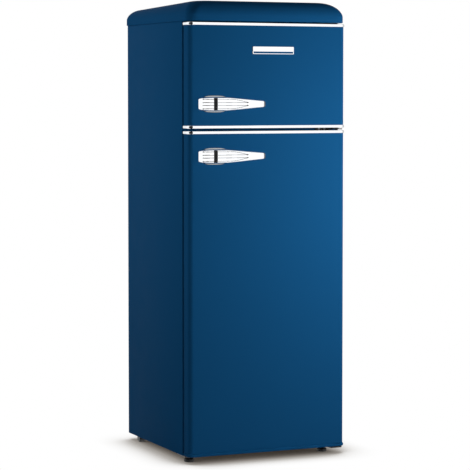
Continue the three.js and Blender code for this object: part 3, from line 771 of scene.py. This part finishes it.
def build_shelves():
    for node in (*SHELF_NODES, "crisper_cover"):
        x0, x1, y0, y1, z0, z1 = Span(node).box
        piece(f"{node}_pane", soft_block(x0, x1, y0, y1, z0, z1, 6, 1.0, 5), GLASS, [node])
        slot = soft_block(-240, 240, y0, y0 + 60, z0, z1, 0.2, 0.1, 2)
        strip = cut_shape(edge_strip(y0 - 3, y0 + 13, z0 - 2.6, z1 + 3.4), slot)
        rail = edge_strip(y1 - 9, y1 - 1, z1 + 0.1, z1 + 9)
        piece(f"{node}_edging", merged(strip, rail), WHITE)
        band = soft_block(-226, 226, y0 - 3.4, y0 - 2.7, z0 - 0.4, z1 + 1.2, 0.2, 0.3, 3)
        piece(f"{node}_band", band, CHROME)


def build_rack():
    """Wire shelf: a closed frame, bars from front to back and three cross bars under them."""
    span = Span("freezer_shelf")
    frame_r, bar_r, cross_r, count = 2.0, 1.25, 1.15, 26
    x, y0, y1, z = span.x1 - frame_r, span.y0 + frame_r, span.y1 - frame_r, span.z0 + frame_r
    loop = [(a, b, z) for a, b in round_outline(-x, x, y0, y1, 12, 5)]
    bars = [wire([*loop, loop[0]], frame_r, 10)]
    for i in range(1, count):
        place = -x + 2 * x * i / count
        bars.append(wire([(place, y0, z + 0.7), (place, y1, z + 0.7)], bar_r, 8))
    for y in (-40, 60, 150):
        bars.append(wire([(-x, y, z - 0.8), (x, y, z - 0.8)], cross_r, 8))
    piece("freezer_rack", merged(*bars), WIRE, ["freezer_shelf"])


def build_crisper():
    x0, x1, y0, y1, z0, z1 = Span("crisper_drawer").box
    box = tray(x0, x1, y0, y1, z0, z1, wall=2.5, corner=14, lip=2.5, draft=3)
    piece("crisper_tub", box, CLEAR, ["crisper_drawer"], "crisper")
    grip = soft_block(-95, 95, y0 - 1.5, y0 + 1.6, z1 - 34, z1 - 10, 1.4, 1.4, 5)
    lip = soft_block(-95, 95, y0 - 4.5, y0 + 1, z1 - 14, z1 - 9.5, 2, 2, 5)
    piece("crisper_grip", merged(grip, lip), WHITE, body="crisper")


def build_controls():
    """Control box with its vents, the ribbed lamp cover and the dots round the dial."""
    span, knob, lens, switch = (Span(node) for node in ("control_housing", "thermostat_knob",
                                                        "lamp_lens", "lamp_switch"))
    body = soft_block(*span.box, 14, 4, 6)
    window = soft_block(lens.x0 - 0.3, lens.x1 + 0.3, lens.y0 - 0.3, lens.y1 + 0.3, span.z0 - 10,
                        span.z0 + 26, 3, 0.2, 4)
    shaft = to_front(lathe([(3.6, -16), (3.6, 8)], 24), knob.cx, span.y0, knob.cz)
    bore = to_front(lathe([(4.6, -17), (4.6, 8)], 24), switch.cx, span.y0, switch.cz)
    vent_x = range(58, 86, 7)
    vents = [soft_block(x, x + 3, -130, -85, span.z0 - 5, span.z0 + 5, 1.4, 0.2, 4)
             for x in (*vent_x, *(-x - 3 for x in vent_x))]
    piece("control_box", cut_shape(body, window, shaft, bore, *vents), WHITE, ["control_housing"])
    ribs = [soft_block(x, x + 1.6, lens.y0 + 3, lens.y1 - 3, lens.z0 - 0.7, lens.z0 + 1, 0.7, 0.6, 3)
            for x in (lens.x0 + 5 + 3.6 * i for i in range(16))]
    glass = soft_block(*lens.box, 3, 1.4, 4)
    piece("lamp_cover", merged(glass, *ribs), CLEAR, ["lamp_lens"])
    marks = []
    for i in range(7):
        mark = soft_block(-0.6, 0.6, 19.4, 22.2 if i % 3 else 23.4, 0, 0.35, 0.5, 0.1, 2)
        marks.append(to_front(turned(mark, "Z", 135 - 45 * i), knob.cx, span.y0, knob.cz))
    piece("dial_marks", merged(*marks), BLACK)


def build_knob():
    """Fluted dial on its shaft, with a grip bar and a pointer."""
    knob, front = Span("thermostat_knob"), Span("control_housing").y0
    outer, sides, shaft_r, shaft_end = (knob.x1 - knob.x0) / 2, 144, 3, -15

    def fluted(radius, height, wave):
        return polar(lambda a: radius - wave * (0.5 + 0.5 * cos(24 * a)), sides, height)

    rings = [circle(shaft_r, sides, shaft_end), circle(shaft_r, sides, 0.3), fluted(outer - 0.4, 0.3, 0),
             fluted(outer, 0.8, 0.2), fluted(outer, 2.0, 0.7), fluted(outer - 0.7, 8.2, 0.8),
             fluted(outer - 1.2, 9.4, 0.5), fluted(outer - 2.4, 10, 0), circle(outer - 4.5, sides, 10),
             circle(outer - 5, sides, 9.4), circle(0.01, sides, 9.4)]
    grip = turned(soft_block(-2.8, 2.8, -12.4, 12.4, 9, 11.6, 2.6, 1.2, 5), "Z", -45)
    dial = to_front(merged(loft(rings), grip), knob.cx, front, knob.cz)
    piece("dial", dial, WHITE, ["thermostat_knob"], "knob")
    pointer = turned(soft_block(-0.5, 0.5, 5.5, 11.6, 11.4, 11.75, 0.4, 0.1, 2), "Z", 135)
    piece("dial_pointer", to_front(pointer, knob.cx, front, knob.cz), BLACK, body="knob")


def build_plunger():
    """Lamp switch: a round-nosed pin with a groove round it."""
    span = Span("lamp_switch")
    radius, length, nose = (span.x1 - span.x0) / 2, span.y1 - span.y0, 3.2
    waist = length * 0.35
    profile = [(radius, 0), (radius, waist), (radius - 0.5, waist + 0.5), (radius - 0.5, waist + 1.5),
               (radius, waist + 2), (radius, length - nose)]
    profile += [(radius * cos(a), length - nose + nose * sin(a))
                for a in (radians(d) for d in (15, 30, 45, 60, 75, 88))]
    shape = to_front(lathe(profile, 28), span.cx, span.y1, span.cz)
    piece("lamp_plunger", shape, WHITE, ["lamp_switch"], "switch_plunger")


# Inside the doors

# Lower and upper end of the upright ribs, and how far back they reach.
RIBS = {"freezer": (1100, 1356, -140), "fridge": (85, 1015, -125)}
BALCONIES = {"freezer": ("freezer_door_balcony",),
             "fridge": ("bottle_balcony", "door_balcony_middle", "door_balcony_upper")}


def door_liner(door):
    """Formed inner panel: two upright ribs with lugs under the shelves, and a bead at each end."""
    node = f"{door}_door_liner"
    x0, x1, y0, _, z0, z1 = Span(node).box
    face = Span(f"{door}_door_skin").y1
    low, high, deep = RIBS[door]
    panel = soft_block(x0, x1, y0, face, z0, z1, 0.5, 0.3, 2)
    rib = soft_block(186, 212, face - 1, deep, low, high, 7, 7, 6)
    bases = [Span(balcony_node).z0 for balcony_node in BALCONIES[door]]
    lugs = [soft_block(176, 187, face - 1, deep - 22, z - 7.5, z - 0.4, 3, 2, 4) for z in bases]
    beads = [soft_block(-180, 180, face - 1, face + 6, z, z + 8, 3, 3, 4) for z in (low + 4, high - 12)]
    shape = merged(panel, both_sides(rib, *lugs), *beads)
    piece(f"{door}_inner_panel", shape, LINER, [node], f"{door}_door")


def balcony(door, node):
    x0, x1, y0, y1, z0, z1 = Span(node).box
    box = tray(x0, x1, y0, y1, z0, z1, wall=2.3, corner=10, lip=1.8, draft=2)
    piece(f"{node}_tub", box, CLEAR, [node], f"{door}_door")
    rail = soft_block(x0 + 12, x1 - 12, y1 - 2.4, y1 - 0.05, z1 - 16, z1 - 6, 1.1, 1.0, 4)
    piece(f"{node}_rail", rail, WHITE, body=f"{door}_door")


def build_door_insides():
    for door, nodes in BALCONIES.items():
        door_liner(door)
        for node in nodes:
            balcony(door, node)


# Cooling circuit

COIL_Y = 297.9


def build_compressor():
    """Welded pot on its plate and four grommets, with a ribbed relay box."""
    span = Span("compressor")
    cx, cy = span.cx, span.cy
    pot = [(0.01, 31), (30, 31), (50, 32), (56, 35), (60, 41), (61.5, 50), (62, 58), (62, 100),
           (62.4, 102), (64, 102.6), (64.3, 104), (64.3, 107), (64, 108.4), (62.2, 109), (61.4, 112),
           (60.6, 125), (59, 140), (56, 151), (50, 162), (42, 170), (30, 176.5), (16, 180), (0.01, 180.9)]
    plate = soft_block(cx - 78, cx + 78, cy - 58, cy + 58, 28.5, 32, 16, 0.9, 5)
    skirt = soft_block(cx - 60, cx + 60, cy - 40, cy + 40, 31, 37, 20, 4, 5)
    stubs = [wire([(cx + 55, cy + y, z), (cx + 76, cy + y, z)], 5, 14) for y, z in ((18, 90), (-6, 78))]
    body = merged(shifted(lathe(pot, 56), cx, cy), plate, skirt, *stubs)
    piece("compressor_pot", body, STOVE, ["compressor"])
    grommet = lathe([(4, 24.4), (8.8, 24.4), (9.2, 25.4), (9, 27.6), (7.2, 28.3), (7.2, 32.2),
                     (8.6, 32.8), (8.6, 35), (4, 35.6)], 24)
    bolt = lathe([(5.4, 35.5), (5.6, 36), (5.6, 38.8), (5, 39.4), (0.01, 39.4)], 6)
    feet = [(cx + x, cy + y) for x in (-68, 68) for y in (-48, 48)]
    piece("compressor_grommets", merged(*(shifted(grommet, x, y) for x, y in feet)), RUBBER_GAP_SHADE)
    piece("compressor_bolts", merged(*(shifted(bolt, x, y) for x, y in feet)), ZINC)
    x0, x1, y0, y1, z0, z1 = Span("relay_box").box
    ribs = [soft_block(x1 - 0.6, x1 + 1, y0 + 6, y1 - 6, z, z + 3, 0.5, 0.5, 3)
            for z in (z0 + 12 + 9 * i for i in range(5))]
    box = soft_block(x0, x1, y0, y1, z0, z1, 5, 3, 5)
    piece("relay_cover", merged(box, *ribs), BLACK, ["relay_box"])


def coil_path():
    """The condenser tube, to and fro, with round ends, then its reach and its lowest and highest run."""
    span = Span("condenser_coil")
    runs, pitch, tube_r = 15, 68, 2.5
    bend = pitch / 2
    reach, low = span.x1 - tube_r - bend, span.z0 + tube_r
    points = []
    for run in range(runs):
        side = 1 if run % 2 == 0 else -1
        z = low + run * pitch
        points += [(-side * reach, COIL_Y, z), (side * reach, COIL_Y, z)]
        if run < runs - 1:
            points += [(side * (reach + bend * cos(a)), COIL_Y, z + bend + bend * sin(a))
                       for a in (radians(-90 + 180 * i / 14) for i in range(1, 14))]
    return points, reach, low, low + (runs - 1) * pitch


def build_condenser():
    """The tube between upright rods. Those next to the cabinet leave room for the brackets."""
    tube_r, rod_r, count, overhang = 2.45, 0.7, 30, 16
    points, reach, low, high = coil_path()
    aside = tube_r + rod_r - 0.2
    rods = []
    for i in range(count + 1):
        x = -reach + 4 + (2 * reach - 8) * i / count
        for y in (COIL_Y + aside, COIL_Y - aside):
            if y > COIL_Y or not 141 < abs(x) < 159:
                rods.append(wire([(x, y, low - overhang), (x, y, high + overhang)], rod_r, 7))
    piece("condenser", merged(wire(points, tube_r, 12), *rods), STOVE, ["condenser_coil"])
    for side in ("left", "right"):
        node = f"condenser_bracket_{side}"
        dress(node, STOVE, 0.5)
        screws = [screw(3.6, 2.2, Span(node).cx, 295.9, z, "back") for z in (290, 1310)]
        piece(f"{node}_screws", merged(*screws), ZINC)


def build_pipes():
    """Copper from the compressor to the condenser, and back through the dryer and the capillary."""
    pot, dryer = Span("compressor"), Span("filter_dryer")
    _, reach, low, high = coil_path()
    y = COIL_Y - 0.3
    right = pot.cx + 76
    discharge = [(right - 3, pot.cy + 18, 90), (right + 14, pot.cy + 18, 90), (right + 14, pot.cy + 62, 150),
                 (-130, 262, 222), (-205, 284, 232), (-214, y, 262), (-214, y, low), (-reach + 3, y, low)]
    suction = [(right - 3, pot.cy - 6, 78), (right + 26, pot.cy - 6, 78), (right + 26, pot.cy - 20, 226),
               (right + 60, 262, 226), (right + 60, 268, 244)]
    liquid = [(reach - 3, y, high), (243, y, high), (243, y, 262), (235, 284, 236), (160, 262, 222),
              (dryer.cx, dryer.cy, 206), (dryer.cx, dryer.cy, dryer.z1 - 3)]
    pipes = (("discharge", discharge, 2.4), ("suction", suction, 3.2), ("liquid", liquid, 2.4))
    for name, path, radius in pipes:
        piece(f"{name}_pipe", wire(path, radius, 12, 14, 7), COPPER)
    coil_r, rise, per_turn = 21, 0.16, 24
    turns = []
    for i in range(100):
        a = 2 * pi * i / per_turn
        turns.append((165 + coil_r * cos(a), dryer.cy - 18 + coil_r * sin(a), 58 + i * rise))
    capillary = [(dryer.cx, dryer.cy, dryer.z0 + 3), (dryer.cx, dryer.cy, 60), (140, dryer.cy - 20, 57),
                 *turns, (186, 180, 78), (186, 168, 232)]
    piece("capillary", wire(capillary, 1.0, 8, 5, 4), COPPER)
    profile = [(3, dryer.z0), (3, 79), (4.4, 81), (8.4, 87), (9, 90), (9, 96), (8.3, 97.5), (9, 99),
               (9, 141), (8.3, 142.5), (9, 144), (9, 150), (8.4, 153), (4.4, 159), (3, 161), (3, dryer.z1)]
    piece("dryer", shifted(lathe(profile), dryer.cx, dryer.cy), COPPER, ["filter_dryer"])


def build_back():
    """Rear sheet with pressed beads and its screws, the drip tray and the blanked gland."""
    x0, x1, y0, y1, z0, z1 = Span("rear_panel").box
    bay = Span("compressor_bay_panel")
    inner, bay_top = bay.x1 + GAP, bay.z1 + 1.3
    outline = [(x0, z0), (-inner, z0), (-inner, bay_top), (inner, bay_top), (inner, z0), (x1, z0),
               (x1, z1), (x0, z1)]
    sheet = to_back(prism(outline, 0, y1 - y0), y=y0)
    beads = [to_back(soft_block(-232, 232, z, z + 16, 0, 1.3, 7.5, 1.2, 6), y=y1 - 0.2)
             for z in range(330, 1330, 165)]
    piece("back_sheet", merged(sheet, *beads), ZINC, ["rear_panel"])
    places = [(x, z) for z in range(262, 1400, 188) for x in (-264, 264)]
    places += [(x, 1396) for x in (-130, 0, 130)]
    heads = [screw(3.8, 2.2, x, y1, z, "back") for x, z in places]
    piece("back_screws", merged(*heads), ZINC)
    tub = tray(*Span("drip_tray").box, wall=2, corner=12, lip=1.5, draft=1.5, floor=2)
    piece("drip_tub", tub, BLACK, ["drip_tray"])
    gland = Span("mains_gland")
    profile = [(5.8, 0), (5.8, 8.3), (10, 8.3), (10, 10.2), (9.3, 11), (5.8, 11.2), (5.6, 13.2), (5, 13.8),
               (5.2, 15), (4.7, 15.8), (4.9, 17), (4.3, 17.8), (4.4, 19.4), (3.6, 21), (2, 21.8), (0.01, 22)]
    piece("gland", to_back(lathe(profile), gland.cx, gland.y0, gland.cz), BLACK, ["mains_gland"])


# Hinges, feet and rollers

def soft_plate(points, z0, z1, radius=3.5, steps=5):
    """A flat plate with its corners rounded and its edges eased."""
    outline = []
    for i, point in enumerate(points):
        corner = Vector(point)
        start = corner + (Vector(points[i - 1]) - corner).normalized() * radius
        end = corner + (Vector(points[(i + 1) % len(points)]) - corner).normalized() * radius
        for t in (step / steps for step in range(steps + 1)):
            outline.append(start * (1 - t) ** 2 + corner * 2 * t * (1 - t) + end * t ** 2)
    middle = sum(outline, Vector((0, 0))) / len(outline)
    ease = 0.35

    def ring(inset, z):
        return [(*(p - (p - middle).normalized() * inset), z) for p in outline]

    return loft([ring(ease, z0), ring(0, z0 + ease), ring(0, z1 - ease), ring(ease, z1)])


def pin(z0, z1):
    radius = 3.9
    profile = [(0.01, z0), (radius - 1, z0), (radius, z0 + 1), (radius, z1 - 1), (radius - 1, z1), (0.01, z1)]
    return shifted(lathe(profile, 28), PIN_X, PIN_Y)


def base_plate(side, points, z0, z1):
    """A plate under the cabinet, pierced for the levelling foot's thread."""
    foot = Span(f"levelling_foot_{side}")
    hole = shifted(lathe([(3.7, z0 - 5), (3.7, z1 + 5)], 24), foot.cx, foot.cy)
    return cut_shape(soft_plate(points, z0, z1, 5), hole)


def build_hinges():
    top, middle, bottom = Span("top_hinge"), Span("middle_hinge"), Span("bottom_hinge")
    plate = soft_plate([(226, -250), (266, -250), (266, -130), (226, -130)], top.z1 - 3, top.z1, 5)
    piece("upper_hinge", merged(plate, pin(top.z0, top.z1 - 1)), ZINC, ["top_hinge"])
    heads = [screw(4, 2.2, 246, y, top.z1 - 0.1, "up") for y in (-145, -175)]
    piece("upper_hinge_screws", merged(*heads), ZINC)
    arm = soft_plate([(236, -258), (271, -258), (271, middle.y1), (236, middle.y1)], 1063.7, 1066.7, 5)
    leaf = to_front(soft_block(196, 246, 1059, 1071, 0, 2.5, 2, 0.4, 4), y=middle.y1)
    washer = lathe([(4.2, 1066.6), (7, 1066.6), (7.2, 1067), (7.2, 1068), (7, 1068.4), (4.2, 1068.4)], 28)
    hinge = merged(arm, leaf, shifted(washer, PIN_X, PIN_Y), pin(middle.z0, middle.z1))
    piece("centre_hinge", hinge, STOVE, ["middle_hinge"])
    for number in (1, 2):
        node = f"hinge_screw_{number}"
        head = Span(node)
        shape = screw(4.2, head.y1 - head.y0, head.cx, head.y1, head.cz, "front")
        piece(f"centre_{node}", shape, ZINC, [node])
    z0, z1 = 18, 21.7
    outline = [(205, -222), (228, -222), (231, -258), (272, -258), (272, -150), (205, -150)]
    plate = base_plate("right", outline, z0, z1)
    piece("lower_hinge", merged(plate, pin(19, bottom.z1)), STOVE, ["bottom_hinge"])
    plate = base_plate("left", [(-272, -222), (-228, -222), (-228, -150), (-272, -150)], z0, z1)
    piece("foot_plate", plate, STOVE, ["foot_bracket"])
    heads = [screw(4, 2.2, x, -162, z0 + 0.1, "down") for x in (-262, -238, 215, 262)]
    piece("base_screws", merged(*heads), ZINC)


def foot_shape(top):
    """Levelling foot standing on Z = 0: a knurled disc, a hexagon nut and a thread."""
    sixth = pi / 3

    def ring(radius, z, notch=0.0):
        return polar(lambda a: radius - notch * (1 if cos(20 * a) > 0.4 else 0), 120, z)

    def nut(radius, z):
        return polar(lambda a: radius * cos(sixth / 2) / cos((a % sixth) - sixth / 2), 120, z)

    rings = [ring(13.6, 0), ring(14.6, 0.3), ring(15.7, 1.4), ring(16, 2.2, 0.9), ring(16, 8.4, 0.9),
             ring(15.4, 9.4), ring(13.8, 10.8), ring(10, 12.1), nut(8, 12.4), nut(8, 17.2), nut(7.5, 17.7)]
    root, crest, pitch, z = 2.45, 3.0, 1.0, 17.8
    while z < top - 1.5:
        rings += [ring(root, z), ring(crest, z + 0.45), ring(root, z + 0.9)]
        z += pitch
    return loft([*rings, ring(2.4, top - 0.4), ring(1.8, top)])


def wheel_shape(half, rim):
    """Roller about Z: a hub, dished faces and a tread with a shallow groove."""
    tyre = [(3.4, -half), (5.6, -half), (5.8, -half + 1.6), (8.2, -half + 1.6), (8.4, -half),
            (rim - 1, -half), (rim, -half + 1), (rim, -2.2), (rim - 0.4, -1.8), (rim - 0.4, 1.8),
            (rim, 2.2), (rim, half - 1), (rim - 1, half), (8.4, half), (8.2, half - 1.6),
            (5.8, half - 1.6), (5.6, half), (3.4, half)]
    return closed_loft([circle(radius, 40, height) for radius, height in tyre])


def build_feet():
    for side in ("left", "right"):
        node = f"levelling_foot_{side}"
        foot = Span(node)
        shape = shifted(foot_shape(foot.z1), foot.cx, foot.cy)
        piece(f"foot_{side}", shape, BLACK, [node], f"{side}_foot")
        node = f"roller_{side}"
        wheel = Span(node)
        shape = turned(wheel_shape((wheel.x1 - wheel.x0) / 2, (wheel.z1 - wheel.z0) / 2), "Y", 90)
        piece(f"wheel_{side}", shifted(shape, wheel.cx, wheel.cy, wheel.cz), BLACK, [node], f"{side}_roller")


def build_pieces():
    for build in (build_liners, build_shelves, build_rack, build_crisper, build_controls, build_knob,
                  build_plunger, build_door_insides, nameplate, build_compressor, build_condenser,
                  build_pipes, build_back, build_hinges, build_feet):
        build()


# Studio

def area_light(name, place, target, size, power):
    """A square light, hidden in reflections."""
    data = bpy.data.lights.new(name, "AREA")
    data.shape, data.size, data.size_y = "RECTANGLE", size, size
    data.energy = power
    light = placed(name, data)
    light.location = place
    light.rotation_mode = "QUATERNION"
    light.rotation_quaternion = (Vector(target) - Vector(place)).to_track_quat("-Z", "Y")
    light.visible_glossy = False


def graded(tree, source, stops):
    """A color ramp fed by the source. Its stops are (place from 0 to 1, color)."""
    ramp = tree.nodes.new("ShaderNodeValToRGB")
    elements = ramp.color_ramp.elements
    while len(elements) < len(stops):
        elements.new(0.5)
    for element, (place, color) in zip(elements, stops):
        element.position, element.color = place, (*color, 1)
    tree.links.new(source, ramp.inputs["Fac"])
    return ramp.outputs["Color"]


def mixed(tree, factor, first, second, output_kind):
    """Ends a node tree in two shaders, mixed by a factor from 0 to 1."""
    mix, output = tree.nodes.new("ShaderNodeMixShader"), tree.nodes.new(output_kind)
    tree.links.new(factor, mix.inputs[0])
    tree.links.new(first.outputs[0], mix.inputs[1])
    tree.links.new(second.outputs[0], mix.inputs[2])
    tree.links.new(mix.outputs[0], output.inputs["Surface"])


def build_floor():
    """White floor. The camera sees it glowing, with a warm contact shadow painted into the glow from ambient
    occlusion where the part stands close over it.
    """
    reach = 40.0
    mesh = bpy.data.meshes.new("floor")
    mesh.from_pydata([(-reach, -reach, 0), (reach, -reach, 0), (reach, reach, 0), (-reach, reach, 0)], [],
                     [(0, 1, 2, 3)])
    floor = placed("floor", mesh)
    material = bpy.data.materials.new("pale_floor")
    material.use_nodes = True
    tree = material.node_tree
    tree.nodes.clear()
    new = tree.nodes.new
    nearness = new("ShaderNodeAmbientOcclusion")
    nearness.inputs["Distance"].default_value = 0.14
    nearness.samples = 24
    # Painted contact shadow: the glow's brightness and warm tint for each ambient occlusion value.
    shades = [(0.0, 0.012), (0.03, 0.035), (0.07, 0.09), (0.11, 0.16), (0.24, 0.24), (0.4, 0.3),
              (0.53, 0.35), (0.57, 0.41), (0.63, 0.53), (0.69, 0.66), (0.75, 0.775), (0.8, 0.855),
              (0.86, 0.92), (0.98, 1.0)]
    warm = [(place, (shade, shade ** 1.06, shade ** 1.13)) for place, shade in shades]
    glow = new("ShaderNodeEmission")
    tree.links.new(graded(tree, nearness.outputs["AO"], warm), glow.inputs["Color"])
    matt = new("ShaderNodeBsdfDiffuse")
    matt.inputs["Color"].default_value = (0.5, 0.5, 0.5, 1)
    diffuse_ray = new("ShaderNodeLightPath").outputs["Is Diffuse Ray"]
    mixed(tree, diffuse_ray, glow, matt, "ShaderNodeOutputMaterial")
    mesh.materials.append(material)
    floor.visible_glossy = False


def build_world():
    """White to the camera, dark to matt surfaces, and to shiny ones a studio that is bright in
    front and to the right, with a dark doorway to the left. Bearings are in degrees."""
    world = bpy.data.worlds.new("studio")
    world.use_nodes = True
    bpy.context.scene.world = world
    tree = world.node_tree
    tree.nodes.clear()
    new, link = tree.nodes.new, tree.links.new

    def maths(operation, *values):
        node = new("ShaderNodeMath")
        node.operation = operation
        for socket, value in zip(node.inputs, values):
            if isinstance(value, (int, float)):
                socket.default_value = value
            else:
                link(value, socket)
        return node.outputs[0]

    split = new("ShaderNodeSeparateXYZ")
    link(new("ShaderNodeTexCoord").outputs["Generated"], split.inputs[0])
    bearing = maths("ARCTAN2", split.outputs["X"], maths("MULTIPLY", split.outputs["Y"], -1))
    turn = maths("MULTIPLY_ADD", maths("DEGREES", bearing), 1 / 360, 0.5)
    walls = [(-180, 0.5), (-150, 0.9), (-86, 0.9), (-78, 0.02), (-4, 0.02), (3, 0.95), (50, 0.95), (90, 0.5),
             (180, 0.5)]
    shade = graded(tree, turn, [((at + 180) / 360, (value,) * 3) for at, value in walls])
    rays, strength = new("ShaderNodeLightPath"), 1.25
    reflected, white = new("ShaderNodeBackground"), new("ShaderNodeBackground")
    link(shade, reflected.inputs["Color"])
    share = maths("MULTIPLY_ADD", rays.outputs["Is Diffuse Ray"], -strength, strength)
    link(share, reflected.inputs["Strength"])
    white.inputs["Color"].default_value = (1, 1, 1, 1)
    mixed(tree, rays.outputs["Is Camera Ray"], reflected, white, "ShaderNodeOutputWorld")


def build_studio():
    build_floor()
    build_world()
    area_light("key", (1.3, -2.0, 1.15), (0.1, -0.26, 1.0), 0.9, 11)
    area_light("key_far_right", (1.8, -1.2, 1.1), (0.2, -0.26, 1.0), 0.8, 6.5)
    area_light("key_near", (0.6, -1.1, 0.95), (0.25, -0.26, 0.95), 0.5, 8.4)
    area_light("left_fill", (-1.4, 0.0, 1.2), (-0.27, 0.05, 1.05), 1.0, 5.6)
    area_light("left_top", (-1.6, 1.2, 2.8), (-0.27, 0.0, 1.45), 1.0, 8)
    area_light("back_fill", (0.6, 2.6, 1.3), (0.0, 0.3, 0.8), 1.6, 26)
    scene = bpy.context.scene
    scene.view_settings.view_transform = "Standard"
    scene.view_settings.look = "None"


add_camera()
build_doors()
build_cabinet()
build_pieces()
build_studio()
